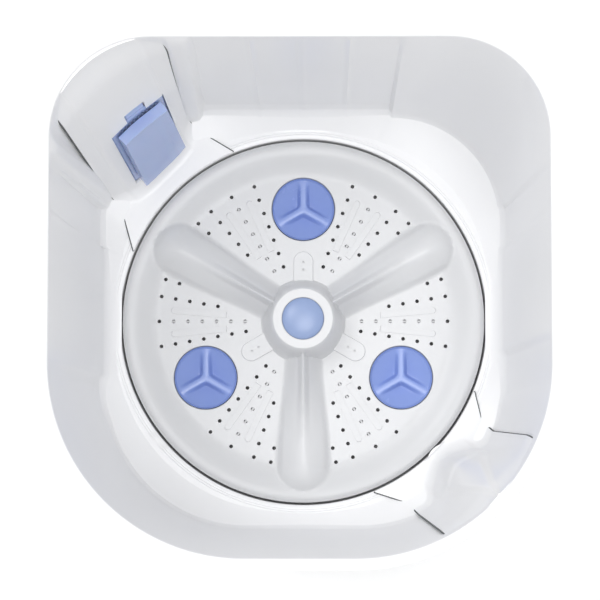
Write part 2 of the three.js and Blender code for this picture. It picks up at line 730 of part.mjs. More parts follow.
const NOSE_TOP_Z = RECESS_Z + 12;
const SEAL_BOTTOM_Z = RECESS_Z - 2;
function bearingHousing() {
  const body = turned(
    [
      [BUSH_R + GAP, HOUSING_BOTTOM_Z],
      [HOUSING_R - 3, HOUSING_BOTTOM_Z],
      [HOUSING_R - 1, FLANGE_BOTTOM_Z - 12],
      [HOUSING_R + 5, FLANGE_BOTTOM_Z],
      [HOUSING_FLANGE_R, FLANGE_BOTTOM_Z],
      [HOUSING_FLANGE_R, FLANGE_TOP_Z],
      [HOUSING_R, FLANGE_TOP_Z],
      [HOUSING_R, NOSE_TOP_Z],
      [19.3, NOSE_TOP_Z],
      [19.3, SEAL_BOTTOM_Z],
      [BUSH_R + GAP, SEAL_BOTTOM_Z],
    ],
    20,
  );
  return cut(body, ...boltPlaces().map(([x, y]) => post(x, y, FLANGE_BOTTOM_Z - 1, FLANGE_TOP_Z + 1, HOUSING_BOLT_R + GAP, 10)));
}

const tubGasket = () =>
  cut(
    ring(0, 0, FLANGE_TOP_Z + GAP, RECESS_UNDER_Z - GAP, HOUSING_R + 3, HOUSING_FLANGE_R - 1, 24),
    ...boltPlaces().map(([x, y]) => post(x, y, FLANGE_TOP_Z, RECESS_UNDER_Z, HOUSING_BOLT_R + GAP, 10)),
  );

const shaftSeal = () =>
  turned([
    [SHAFT_R + GAP, SEAL_BOTTOM_Z + GAP],
    [19, SEAL_BOTTOM_Z + GAP],
    [19, NOSE_TOP_Z - 1],
    [16, NOSE_TOP_Z - 1],
    [16, SEAL_BOTTOM_Z + 4],
    [11, SEAL_BOTTOM_Z + 4],
    [SHAFT_R + GAP, NOSE_TOP_Z - 3],
  ]);

const bush = (from, to) => ring(0, 0, from, to, SHAFT_R + RUNNING_FIT, BUSH_R, BEARING_SIDES);

// A belt pulley: two cheeks and a flat-bottomed groove that clears the belt.
function pulley(pitchR, bore, webbed) {
  const half = PULLEY_WIDTH / 2;
  const groove = BELT_WIDTH / 2 + 0.6;
  const bottom = pitchR - BELT_THICKNESS / 2 - 0.7;
  const cheek = pitchR + 5;
  const grooved = [
    [cheek, BELT_Z + half],
    [cheek - 1, BELT_Z + groove],
    [bottom, BELT_Z + groove],
    [bottom, BELT_Z - groove],
    [cheek - 1, BELT_Z - groove],
    [cheek, BELT_Z - half],
  ];
  const inside = webbed
    ? [
        [bottom - 5, BELT_Z - half],
        [bottom - 5, BELT_Z - 2],
        [18, BELT_Z - 2],
        [18, BELT_Z - half - 2],
        [bore, BELT_Z - half - 2],
        [bore, BELT_Z + half + 2],
        [18, BELT_Z + half + 2],
        [18, BELT_Z + 2],
        [bottom - 5, BELT_Z + 2],
        [bottom - 5, BELT_Z + half],
      ]
    : [
        [bore, BELT_Z - half],
        [bore, BELT_Z + half],
      ];
  return turned([...grooved, ...inside], webbed ? 20 : 12);
}

function drivePulley() {
  const windows = Array.from({ length: 5 }, (_, k) => {
    const [x, y] = polar(41, 72 * k);
    return post(x, y, BELT_Z - 5, BELT_Z + 5, 13, 12);
  });
  return cut(pulley(DRIVE_PITCH_R, SHAFT_R + GAP, true), ...windows);
}

const NUT_TOP_Z = BELT_Z - PULLEY_WIDTH / 2 - 2 - GAP;
const pulleyNut = () => cut(post(0, 0, NUT_TOP_Z - 8, NUT_TOP_Z, 14, 6), post(0, 0, 0, BELT_Z, SHAFT_R + GAP));

function driveBelt() {
  const loop = (grow) => {
    const big = DRIVE_PITCH_R + grow;
    const small = MOTOR_PITCH_R + grow;
    const lean = Math.asin((big - small) / MOTOR_Y);
    const path = new THREE.Path();
    path.absarc(0, 0, big, Math.PI - lean, 2 * Math.PI + lean, false);
    path.absarc(0, MOTOR_Y, small, lean, Math.PI - lean, false);
    path.closePath();
    return path.getPoints(14);
  };
  const shape = new THREE.Shape(loop(BELT_THICKNESS / 2));
  shape.holes.push(new THREE.Path(loop(-BELT_THICKNESS / 2).reverse()));
  const geometry = new THREE.ExtrudeGeometry(shape, { depth: BELT_WIDTH, bevelEnabled: false, steps: 1 });
  geometry.translate(0, 0, BELT_Z - BELT_WIDTH / 2);
  return solid(geometry);
}

// A hexagon-headed bolt that comes up from below.
const bolt = (headTop, headHeight, tip, radius) =>
  join(
    post(0, 0, headTop - headHeight, headTop, radius + 2.4, 6),
    post(0, 0, headTop - 1, tip, radius, 10),
  );
const housingBolt = () => bolt(BRACKET_BOTTOM_Z - GAP, 4.5, RECESS_Z + 1, HOUSING_BOLT_R);
const motorBolt = () => bolt(MOTOR_TOP_Z - LUG_THICKNESS - GAP, 4, BRACKET_TOP_Z + 4, MOTOR_BOLT_R);

// Places of the motor's bolts from the motor's own axis.
const motorBoltPlaces = () => ROLLER_ANGLES.map((degrees) => polar(MOTOR_BOLT_ORBIT, degrees));

function motorBracket() {
  const plate = box([-64, -62, BRACKET_BOTTOM_Z], [64, MOTOR_Y + 66, BRACKET_TOP_Z]);
  const lips = [-64, 61].map((x) => box([x, -62, BRACKET_BOTTOM_Z - 12], [x + 3, MOTOR_Y + 66, BRACKET_BOTTOM_Z + 1]));
  return cut(
    join(plate, ...lips),
    post(0, 0, BRACKET_BOTTOM_Z - 1, BRACKET_TOP_Z + 1, HOUSING_R + 6),
    post(0, MOTOR_Y, BRACKET_BOTTOM_Z - 1, BRACKET_TOP_Z + 1, 24),
    ...boltPlaces().map(([x, y]) => post(x, y, BRACKET_BOTTOM_Z - 1, BRACKET_TOP_Z + 1, HOUSING_BOLT_R + GAP, 10)),
    ...motorBoltPlaces().map(([x, y]) =>
      post(x, y + MOTOR_Y, BRACKET_BOTTOM_Z - 1, BRACKET_TOP_Z + 1, MOTOR_BOLT_R + GAP, 10),
    ),
  );
}

function motorHousing() {
  const bore = MOTOR_SHAFT_R + RUNNING_FIT;
  const shell = turned(
    [
      [bore, MOTOR_BOTTOM_Z],
      [MOTOR_R, MOTOR_BOTTOM_Z],
      [MOTOR_R, MOTOR_TOP_Z - LUG_THICKNESS],
      [MOTOR_LUG_R, MOTOR_TOP_Z - LUG_THICKNESS],
      [MOTOR_LUG_R, MOTOR_TOP_Z],
      [bore, MOTOR_TOP_Z],
      [bore, MOTOR_TOP_Z - 8],
      [14, MOTOR_TOP_Z - 8],
      [14, MOTOR_TOP_Z - 3],
      [MOTOR_R - 2.5, MOTOR_TOP_Z - 3],
      [MOTOR_R - 2.5, MOTOR_BOTTOM_Z + 3],
      [14, MOTOR_BOTTOM_Z + 3],
      [14, MOTOR_BOTTOM_Z + 8],
      [bore, MOTOR_BOTTOM_Z + 8],
    ],
    20,
  );
  const holes = motorBoltPlaces().map(([x, y]) =>
    post(x, y, MOTOR_TOP_Z - LUG_THICKNESS - 1, MOTOR_TOP_Z + 1, MOTOR_BOLT_R + GAP, 10),
  );
  return cut(shell, ...holes);
}

const motorMount = () => ring(0, 0, MOTOR_TOP_Z + GAP, BRACKET_BOTTOM_Z - GAP, MOTOR_BOLT_R + GAP, 7.5, 16);

const CORE_LOW_Z = 182;
const CORE_HIGH_Z = 232;
const slotPlaces = () => Array.from({ length: 6 }, (_, k) => polar(38.5, 60 * k));
const motorStator = () =>
  cut(
    ring(0, 0, CORE_LOW_Z, CORE_HIGH_Z, ROTOR_R + 0.6, MOTOR_R - 2.5 - GAP, 20),
    ...slotPlaces().map(([x, y]) => post(x, y, CORE_LOW_Z - 1, CORE_HIGH_Z + 1, 4 + GAP, 8)),
  );
const motorWindings = () =>
  join(
    ring(0, 0, CORE_LOW_Z - 12, CORE_LOW_Z - GAP, ROTOR_R + 4, MOTOR_R - 8.5, 20),
    ring(0, 0, CORE_HIGH_Z + GAP, CORE_HIGH_Z + 11, ROTOR_R + 4, MOTOR_R - 8.5, 20),
    ...slotPlaces().map(([x, y]) => post(x, y, CORE_LOW_Z - 2, CORE_HIGH_Z + 2, 4, 8)),
  );
const motorRotor = () =>
  join(
    post(0, 0, MOTOR_SHAFT_END_Z, MOTOR_TOP_Z + 2, MOTOR_SHAFT_R, BEARING_SIDES),
    post(0, 0, CORE_LOW_Z, CORE_HIGH_Z, ROTOR_R, 20),
  );

// ---- Drain ----
const VALVE_LEFT_X = PORT_X - 18;
const SEAT_X = PORT_X + 20;
const VALVE_RIGHT_X = SEAT_X + 22;
const OUTLET_R = 8;

function drainValveBody() {
  const outer = join(
    rodX(VALVE_Y, VALVE_Z, VALVE_LEFT_X, VALVE_RIGHT_X, VALVE_CHAMBER_R + VALVE_WALL),
    post(PORT_X, VALVE_Y, VALVE_Z, RECESS_UNDER_Z - 4, PORT_R + 5.5),
    rodX(VALVE_Y, VALVE_Z, VALVE_RIGHT_X - 1, OVERFLOW_X - 12, OUTLET_R),
  );
  return cut(
    outer,
    rodX(VALVE_Y, VALVE_Z, VALVE_LEFT_X - 1, SEAT_X, VALVE_CHAMBER_R),
    rodX(VALVE_Y, VALVE_Z, SEAT_X + 3, VALVE_RIGHT_X - 3, VALVE_CHAMBER_R),
    rodX(VALVE_Y, VALVE_Z, SEAT_X - 1, SEAT_X + 4, 9),
    rodX(VALVE_Y, VALVE_Z, VALVE_RIGHT_X - 4, OVERFLOW_X, OUTLET_R - 2),
    post(PORT_X, VALVE_Y, VALVE_Z, RECESS_UNDER_Z, PORT_R + 2.5 + GAP),
  );
}

const PLUG_THICKNESS = 7;
const STEM_R = 2.5;
const STEM_END_X = SELECTOR_X + DRUM_R + VALVE_TRAVEL + 1.4; // the stem stays clear of the drum when the valve is open
function valvePlug() {
  return join(
    rodX(VALVE_Y, VALVE_Z, SEAT_X - GAP - PLUG_THICKNESS, SEAT_X - GAP, 13),
    rodX(VALVE_Y, VALVE_Z, STEM_END_X, SEAT_X - GAP - 1, STEM_R, 12),
  );
}

const valveCap = () =>
  cut(
    join(
      rodX(VALVE_Y, VALVE_Z, VALVE_LEFT_X - 4, VALVE_LEFT_X - GAP, VALVE_CHAMBER_R + VALVE_WALL),
      rodX(VALVE_Y, VALVE_Z, VALVE_LEFT_X - 1, VALVE_LEFT_X + 4, VALVE_CHAMBER_R - GAP),
    ),
    rodX(VALVE_Y, VALVE_Z, VALVE_LEFT_X - 6, VALVE_LEFT_X + 6, STEM_R + RUNNING_FIT, 12),
  );

function coil(from, to, coilR, wireR, turns) {
  const points = Array.from({ length: turns * 8 + 1 }, (_, i) => {
    const t = (i / 8) * 2 * Math.PI;
    return new THREE.Vector3(mix(from, to, i / (turns * 8)), VALVE_Y + coilR * Math.cos(t), VALVE_Z + coilR * Math.sin(t));
  });
  const section = new THREE.Shape();
  section.absarc(0, 0, wireR, 0, 2 * Math.PI);
  return solid(
    new THREE.ExtrudeGeometry(section, {
      extrudePath: new THREE.CatmullRomCurve3(points),
      steps: turns * 8,
      curveSegments: 3,
      bevelEnabled: false,
    }),
  );
}

// The spring is drawn at its pressed length, so it stays clear of the plug when the valve is open.
const valveSpring = () => coil(VALVE_LEFT_X + 5.5, SEAT_X - GAP - PLUG_THICKNESS - VALVE_TRAVEL - 1.5, 8, 0.8, 3);
const pullStrap = () =>
  box([SELECTOR_X, VALVE_Y - 4, VALVE_Z - 0.9], [STEM_END_X - GAP, VALVE_Y + 4, VALVE_Z - 0.1]);

const MANIFOLD_R = 14;
const POCKET_X = WIDTH / 2 - 34;
function drainManifold() {
  const inner = SPIGOT_R - 2.5;
  const outer = join(
    post(OVERFLOW_X, -OVERFLOW_X, SPIGOT_Z - 16, VALVE_Z + 16, MANIFOLD_R),
    rodY(OVERFLOW_X, SPIGOT_Z, -OVERFLOW_X, SPIGOT_Y + SPIGOT_R, SPIGOT_R),
    rodX(SPIGOT_Y, SPIGOT_Z, OVERFLOW_X, SPIGOT_END_X, SPIGOT_R),
  );
  return cut(
    outer,
    post(OVERFLOW_X, -OVERFLOW_X, SPIGOT_Z - 13, VALVE_Z + 17, MANIFOLD_R - 3),
    rodY(OVERFLOW_X, SPIGOT_Z, -OVERFLOW_X, SPIGOT_Y + inner, inner),
    rodX(SPIGOT_Y, SPIGOT_Z, OVERFLOW_X, SPIGOT_END_X + 1, inner),
    rodX(VALVE_Y, VALVE_Z, OVERFLOW_X - 20, OVERFLOW_X, OUTLET_R + GAP),
  );
}
const overflowPipe = () => ring(OVERFLOW_X, -OVERFLOW_X, VALVE_Z + 10, OVERFLOW_TOP_Z, OVERFLOW_R - 2, OVERFLOW_R);

// ---- Cabinet and base ----
const pocketOf = ([x0, x1], [y0, y1], [z0, z1], wall) => box([x0 - wall, y0 - wall, z0 - wall], [x1 + wall, y1 + wall, z1 + wall]);

function cabinet() {
  const top = RIM_Z - TUB_WALL - GAP;
  const outer = skin([outline(CABINET_INSET, CABINET_BOTTOM_Z), outline(CABINET_INSET, top)], false);
  const inner = skin(
    [outline(CABINET_INSET + CABINET_WALL, CABINET_BOTTOM_Z - 1), outline(CABINET_INSET + CABINET_WALL, top + 1)],
    false,
  );
  const half = PANEL_WIDTH / 2 + POCKET_MARGIN;
  const tall = PANEL_HEIGHT / 2 + POCKET_MARGIN;
  const sides = WIDTH / 2 - CABINET_INSET;
  const pockets = [
    [[-half, half], [-DEPTH, POCKET_FLOOR_Y], [PANEL_Z - tall, PANEL_Z + tall]],
    [[sides - GRIP_DEPTH, WIDTH], [-GRIP_LENGTH / 2, GRIP_LENGTH / 2], [GRIP_Z, GRIP_Z + GRIP_HEIGHT]],
    [[-WIDTH, GRIP_DEPTH - sides], [-GRIP_LENGTH / 2, GRIP_LENGTH / 2], [GRIP_Z, GRIP_Z + GRIP_HEIGHT]],
    [[POCKET_X, WIDTH], [SPIGOT_Y - 24, SPIGOT_Y + 24], [SPIGOT_Z - 24, SPIGOT_Z + 24]],
  ];
  const hollow = cut(inner, ...pockets.map((p) => pocketOf(...p, CABINET_WALL)));
  const windowHalf = PANEL_WIDTH / 2 - 12;
  const windowTall = PANEL_HEIGHT / 2 - 10;
  return cut(
    outer,
    hollow,
    ...pockets.map((p) => pocketOf(...p, 0)),
    box([-windowHalf, POCKET_FLOOR_Y - 10, PANEL_Z - windowTall], [windowHalf, POCKET_FLOOR_Y + 10, PANEL_Z + windowTall]),
    box([-BACK_HALF, DEPTH / 2 - 20, BACK_LOW_Z], [BACK_HALF, DEPTH, BACK_HIGH_Z]),
    rodX(SPIGOT_Y, SPIGOT_Z, POCKET_X - 10, POCKET_X + 10, SPIGOT_R + GAP),
    rodY(GLAND_X, GLAND_Z, DEPTH / 2 - 20, DEPTH, GLAND_R + GAP),
  );
}

const BACK_HALF = 90;
const BACK_LOW_Z = 75;
const BACK_HIGH_Z = 265;
const BACK_LAP = 10;
const BACK_COVER = 1.6;
const BACK_Y = DEPTH / 2 - CABINET_INSET + GAP;
const GLAND_X = -116;
const GLAND_Z = 75;
const GLAND_R = 8;

const backScrewPlaces = () => [-1, 1].map((side) => [side * (BACK_HALF + 5), BACK_HIGH_Z + 5]);

function backCover() {
  const plate = box(
    [-BACK_HALF - BACK_LAP, BACK_Y, BACK_LOW_Z - BACK_LAP],
    [BACK_HALF + BACK_LAP, BACK_Y + BACK_COVER, BACK_HIGH_Z + BACK_LAP],
  );
  const slots = [-1, 1].flatMap((side) =>
    Array.from({ length: 6 }, (_, k) => {
      const z = BACK_LOW_Z + 25 + 14 * k;
      return box([side * 48 - 32, BACK_Y - 2, z], [side * 48 + 32, BACK_Y + 5, z + 4]);
    }),
  );
  return cut(plate, ...slots);
}
const backScrew = () => rodY(0, 0, BACK_Y + BACK_COVER + 0.2, DEPTH / 2, 4, 12);

const cordGland = () =>
  cut(
    join(
      rodY(GLAND_X, GLAND_Z, DEPTH / 2 - 14, DEPTH / 2, GLAND_R),
      rodY(GLAND_X, GLAND_Z, DEPTH / 2 - 14, DEPTH / 2 - CABINET_INSET - CABINET_WALL - GAP, GLAND_R + 3),
    ),
    rodY(GLAND_X, GLAND_Z, DEPTH / 2 - 20, DEPTH, 3.6),
  );

function baseTray() {
  const inset = CABINET_INSET + 0.5;
  const outer = join(
    skin([outline(inset + 5, BASE_BOTTOM_Z), outline(inset, BASE_BOTTOM_Z + 5), outline(inset, CABINET_BOTTOM_Z - GAP)], false),
    skin(
      [
        outline(CABINET_INSET + CABINET_WALL + 0.6, CABINET_BOTTOM_Z - 1),
        outline(CABINET_INSET + CABINET_WALL + 0.6, CABINET_BOTTOM_Z + BASE_LIP),
      ],
      false,
    ),
  );
  const hollow = skin(
    [outline(inset + 6, BASE_BOTTOM_Z + BASE_FLOOR), outline(inset + 6, CABINET_BOTTOM_Z + BASE_LIP + 1)],
    false,
  );
  const vents = Array.from({ length: 7 }, (_, k) =>
    box([-45, -36 + 12 * k, BASE_BOTTOM_Z - 1], [45, -31 + 12 * k, BASE_BOTTOM_Z + BASE_FLOOR + 1]),
  );
  const seats = footPlaces().map(([x, y]) => post(x, y, BASE_BOTTOM_Z - 1, BASE_BOTTOM_Z + BASE_FLOOR + 1, FOOT_STUD_R + GAP, 10));
  return cut(outer, hollow, ...vents, ...seats);
}

const footPlaces = () => [
  [-140, -160],
  [140, -160],
  [-178, 183],
  [178, 183],
];
const foot = () =>
  join(
    turned(
      [
        [0, 0],
        [FOOT_R - 2, 0],
        [FOOT_R, 2],
        [FOOT_R - 3, BASE_BOTTOM_Z - GAP],
        [0, BASE_BOTTOM_Z - GAP],
      ],
      16,
    ),
    post(0, 0, BASE_BOTTOM_Z - 1, BASE_BOTTOM_Z + BASE_FLOOR + 3, FOOT_STUD_R, 10),
  );

const motorCapacitor = () => post(125, 110, BASE_BOTTOM_Z + BASE_FLOOR + GAP, 96, 18);

// ---- Controls ----
const PANEL_FRONT_Y = POCKET_FLOOR_Y - GAP - PANEL_THICKNESS;
const BOX_FRONT_Y = POCKET_FLOOR_Y + CABINET_WALL + GAP;

function controlPanel() {
  const plate = box(
    [-PANEL_WIDTH / 2, PANEL_FRONT_Y, PANEL_Z - PANEL_HEIGHT / 2],
    [PANEL_WIDTH / 2, POCKET_FLOOR_Y - GAP, PANEL_Z + PANEL_HEIGHT / 2],
  );
  return cut(
    plate,
    ...[TIMER_X, SELECTOR_X].map((x) => rodY(x, PANEL_Z, PANEL_FRONT_Y - 1, POCKET_FLOOR_Y, KNOB_SHAFT_R + RUNNING_FIT, 24)),
    rodY(LAMP_X, PANEL_Z, PANEL_FRONT_Y - 1, POCKET_FLOOR_Y, 4 + GAP),
  );
}

const indicatorLens = () =>
  join(
    rodY(LAMP_X, PANEL_Z, PANEL_FRONT_Y - 1.5, POCKET_FLOOR_Y + 6, 4),
    rodY(LAMP_X, PANEL_Z, POCKET_FLOOR_Y, POCKET_FLOOR_Y + 6, 6),
  );

// A dial about its own axis, with a raised grip across it and a shaft that goes back to a given depth.
function knob(shaftEndY) {
  const face = -DEPTH / 2;
  const rear = PANEL_FRONT_Y - GAP;
  const reach = KNOB_R - 3;
  return join(
    rodY(0, 0, rear - KNOB_SKIRT, rear, KNOB_R, 24),
    box([-KNOB_GRIP / 2, face, -reach], [KNOB_GRIP / 2, rear - 1, reach]),
    rodY(0, 0, rear - 1, shaftEndY, KNOB_SHAFT_R, 24),
  );
}
const timerKnob = () => knob(BOX_FRONT_Y + TIMER_DEPTH - 6);
const selectorKnob = () => join(knob(VALVE_Y + 8), rodY(0, 0, VALVE_Y - 5, VALVE_Y + 5, DRUM_R));

function controlBox(half, tall, depth) {
  return cut(
    box([-half, BOX_FRONT_Y, -tall], [half, BOX_FRONT_Y + depth, tall]),
    rodY(0, 0, BOX_FRONT_Y - 1, BOX_FRONT_Y + depth + 1, KNOB_SHAFT_R + 0.5),
  );
}

// ---- Assembly ----
function addCasing(machine) {
  const casing = assembly(machine);
  addMesh(casing, "cabinet", WHITE_BODY, cabinet());
  addMesh(casing, "base_tray", GREY, baseTray());
  ["front_left", "front_right", "rear_left", "rear_right"].forEach((place, k) =>
    addMesh(casing, "foot_" + place, RUBBER, foot(), ...footPlaces()[k]),
  );
  addMesh(casing, "back_cover", WHITE_BODY, backCover());
  backScrewPlaces().forEach(([x, z], k) => addMesh(casing, "back_screw_" + (k + 1), STEEL, backScrew(), x, 0, z));
  addMesh(casing, "cord_gland", DARK, cordGland());
}

function addTub(machine) {
  const tub = assembly(machine);
  addMesh(tub, "wash_tub", WHITE_GLOSS, washTub());
  addMesh(tub, "duct_cover", WHITE_GLOSS, ductCover());
  addMesh(tub, "lint_filter_front", PALE_BLUE, lintFilterFront());
  addMesh(tub, "lint_filter_cage", PALE_BLUE, lintFilterCage());
  addMesh(tub, "lint_filter_latch", PALE_BLUE, lintFilterLatch());
  addMesh(tub, "overflow_cover", WHITE_GLOSS, overflowCover());
  addMesh(tub, "overflow_pipe", GREY, overflowPipe());
}

function addPulsator(machine) {
  const turning = assembly(machine);
  addMesh(turning, "pulsator", WHITE_GLOSS, pulsator());
  addMesh(turning, "hub_cap", BLUE, hubCap());
  addMesh(turning, "pulsator_screw", STEEL, pulsatorScrew());
  ROLLER_ANGLES.forEach((degrees, k) =>
    addMesh(turning, "roller_" + (k + 1), BLUE, roller(), ...polar(ROLLER_ORBIT, degrees)),
  );
  addMesh(turning, "drive_shaft", STEEL, driveShaft());
  addMesh(turning, "drive_pulley", ALUMINIUM, drivePulley());
  addMesh(turning, "pulley_nut", STEEL, pulleyNut());
}

function addBearings(machine) {
  const bearings = assembly(machine);
  addMesh(bearings, "bearing_housing", ALUMINIUM, bearingHousing());
  addMesh(bearings, "tub_gasket", RUBBER, tubGasket());
  addMesh(bearings, "shaft_seal", RUBBER, shaftSeal());
  addMesh(bearings, "upper_bush", BRONZE, bush(SEAL_BOTTOM_Z - GAP - BUSH_LENGTH, SEAL_BOTTOM_Z - GAP));
  addMesh(bearings, "lower_bush", BRONZE, bush(HOUSING_BOTTOM_Z + GAP, HOUSING_BOTTOM_Z + GAP + BUSH_LENGTH));
  boltPlaces().forEach((place, k) => addMesh(bearings, "housing_bolt_" + (k + 1), STEEL, housingBolt(), ...place));
}

function addMotor(machine) {
  addMesh(machine, "motor_bracket", STEEL, motorBracket());
  addMesh(machine, "drive_belt", RUBBER, driveBelt());
  const motor = assembly(machine, 0, MOTOR_Y);
  addMesh(motor, "motor_housing", ALUMINIUM, motorHousing());
  addMesh(motor, "motor_stator", STEEL, motorStator());
  addMesh(motor, "motor_windings", COPPER, motorWindings());
  addMesh(motor, "motor_rotor", STEEL, motorRotor());
  addMesh(motor, "motor_pulley", ALUMINIUM, pulley(MOTOR_PITCH_R, MOTOR_SHAFT_R + GAP, false));
  motorBoltPlaces().forEach((place, k) => {
    addMesh(motor, "motor_mount_" + (k + 1), RUBBER, motorMount(), ...place);
    addMesh(motor, "motor_bolt_" + (k + 1), STEEL, motorBolt(), ...place);
  });
  addMesh(machine, "motor_capacitor", GREY, motorCapacitor());
}

function addDrain(machine) {
  const drain = assembly(machine);
  addMesh(drain, "drain_valve_body", GREY, drainValveBody());
  addMesh(drain, "drain_valve_plug", RUBBER, valvePlug());
  addMesh(drain, "drain_valve_cap", GREY, valveCap());
  addMesh(drain, "drain_valve_spring", STEEL, valveSpring());
  addMesh(drain, "pull_strap", DARK, pullStrap());
  addMesh(drain, "drain_manifold", GREY, drainManifold());
}

function addControls(machine) {
  addMesh(machine, "control_panel", GREY, controlPanel());
  addMesh(machine, "indicator_lens", BLUE, indicatorLens());
  const timer = assembly(machine, TIMER_X, 0, PANEL_Z);
  addMesh(timer, "timer_knob", WHITE_GLOSS, timerKnob());
  addMesh(timer, "timer_box", DARK, controlBox(26, 26, TIMER_DEPTH));
  const selector = assembly(machine, SELECTOR_X, 0, PANEL_Z);
  addMesh(selector, "selector_knob", WHITE_GLOSS, selectorKnob());
  addMesh(selector, "selector_switch", DARK, controlBox(18, 20, SWITCH_DEPTH));
}

const machine = new THREE.Group();
[addCasing, addTub, addPulsator, addBearings, addMotor, addDrain, addControls].forEach((add) => add(machine));
export default machine;
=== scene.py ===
import json
import math

import bmesh
import bpy
import numpy as np
from mathutils import Matrix, Vector


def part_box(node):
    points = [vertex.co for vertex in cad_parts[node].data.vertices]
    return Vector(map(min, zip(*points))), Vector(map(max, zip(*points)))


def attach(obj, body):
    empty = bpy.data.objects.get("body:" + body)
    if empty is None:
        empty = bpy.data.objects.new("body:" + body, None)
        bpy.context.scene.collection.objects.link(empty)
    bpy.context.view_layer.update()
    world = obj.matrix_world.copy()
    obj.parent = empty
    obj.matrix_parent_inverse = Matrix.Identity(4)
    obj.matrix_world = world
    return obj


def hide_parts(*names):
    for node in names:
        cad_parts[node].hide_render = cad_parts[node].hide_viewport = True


# The looks of a compact top-loading washing machine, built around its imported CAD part.
# Sizes are millimetres until make_object() turns them into metres, and Z is up, with the
# machine's back at +Y. The filter's basket and all other bodies with no piece here keep their
# CAD meshes and only get a material.
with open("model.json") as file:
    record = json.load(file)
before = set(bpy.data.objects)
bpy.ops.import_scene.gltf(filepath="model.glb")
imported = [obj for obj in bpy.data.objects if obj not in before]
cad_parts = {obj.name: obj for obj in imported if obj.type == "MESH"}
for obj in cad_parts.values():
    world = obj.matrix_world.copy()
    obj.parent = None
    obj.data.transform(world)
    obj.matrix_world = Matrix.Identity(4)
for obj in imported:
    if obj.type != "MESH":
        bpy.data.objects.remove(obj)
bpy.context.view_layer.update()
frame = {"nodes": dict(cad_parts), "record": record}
NODES = frame["nodes"]
scene = bpy.context.scene
MM = 0.001


# ---- Sizes that the CAD part fixes ----
def node_box(name):
    low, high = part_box(name)
    return np.array(low) / MM, np.array(high) / MM


TUB_LOW, TUB_HIGH = node_box("wash_tub")
WIDTH = TUB_HIGH[0] - TUB_LOW[0]
DEPTH = TUB_HIGH[1] - TUB_LOW[1]
RIM_Z = TUB_HIGH[2]
TUB_DEPTH = 372.0
BACK_R = 99.0  # the rim's corner radii
FRONT_R = 182.0
RIM_WIDTH = 10.5
TUB_WALL = 2.8
SKIRT = 18.0
FLOOR_Z = RIM_Z - TUB_DEPTH
FLOOR_INSET = 23.0
FLOOR_BACK_R = 115.0
FLOOR_FRONT_R = 150.0
FLOOR_FILLET = 18.0
WALL_HEIGHT = TUB_DEPTH - FLOOR_FILLET
RECESS_R = 191.5
RECESS_Z = FLOOR_Z - 40
RECESS_BORE_R = 26.0
BOLT_ORBIT = 48.0
PORT_X, PORT_Y, PORT_R = 84.0, -158.0, 9.0  # the drain port in the recess
OVERFLOW_AT = 159.5
GAP = 0.3

COVER_WALL = 2.5
COVER_TOP_Z = RIM_Z - 4
COVER_OFF_WALL = COVER_WALL + 1.2
COVER_EDGE_R = RECESS_R + 1
COVER_FOOT_Z = FLOOR_Z + COVER_WALL + GAP
COVER_FILLET = FLOOR_FILLET - COVER_WALL - GAP
COVER_HALF = 57.0
COVER_HALF_ANGLE = 22.5
COVER_GRID = (97, 84)  # points across a cover, and down its wall

FILTER_HALF = 32.0
FILTER_LOW, FILTER_HIGH = FLOOR_Z + 24, FLOOR_Z + 187
LATCH_HALF = 11.0
LATCH_LOW, LATCH_HIGH = FLOOR_Z + 188, FLOOR_Z + 208
CLEAR = 0.8  # round the filter and its clip, in their windows
WINDOW_REACH = (150, 300)  # along the diagonal, from well inside the cover to well outside
GRIP_AT = (1, 82)  # across the filter and up from its foot
GRIP_HALF = (25, 30)
GRIP_DEPTH = 6.5
SLOT_BOX = (6, 0.9, 4)  # half sizes through the filter, across it and up it

PULSATOR_R = 189.0
PULSATOR_WALL = 3.0
HOLE_PLANE_Z = FLOOR_Z - 6
HOLE_R = 2.0
HOLE_PITCH = 15
HOLE_ROWS = ((20, 7), (30, 7), (40, 5), (47, 2))  # degrees from a roller's axis, holes in the row
HUB_RISE = 50.0
HUB_TOP_Z = HOLE_PLANE_Z + HUB_RISE
HUB_R = 29.0
CAP_R = 21.5
CAP_SEAT_R = 22
ARM_ANGLES = (30, 150, 270)
ARM_REACH = 176.0
ARM_HALF = (20.0, 29.0)  # half width at the hub and at the tip
ARM_RISE = (40.0, 17.0)  # height at the hub and at the tip
SHAFT_BORE_R = 8.3
SHAFT_BORE_END_Z = HUB_TOP_Z - 27.2
SCREW_BORE_R = 4.4
SCREW_SEAT_R = 19.5
SCREW_SEAT_Z = HUB_TOP_Z - 16
ROLLER_ANGLES = (90, 210, 330)
ROLLER_R = 32.5
ROLLER_ORBIT = 118.0
ROLLER_BOWL = 13.5  # how deep the bowl is in the middle, and how far it rises to its edge
ROLLER_BOWL_RISE = 11.0
ROLLER_RIB_DROP = 3.4
SOCKET_R = 33.2
SOCKET_FLOOR_Z = HOLE_PLANE_Z - 20.5
BARB_Z = SOCKET_FLOOR_Z - 2.8

# Relief of the tub's wall: where each panel, groove and pilaster starts and ends along its side
BACK_PANEL = (-96, 92)
BACK_GROOVES = ((-46, -43), (-0.5, 2.5), (44, 47))
BACK_PILASTER = (-119, -98)
LEFT_PILASTER = (125, 141)
LEFT_PANELS = ((76, 118), (-125, -58))
LEFT_GROOVE = (24, 26.5)
RIGHT_PANELS = ((75, 118), (-82, -34))
PANEL_DEPTH = 8.0
PILASTER_RISE = 4.5

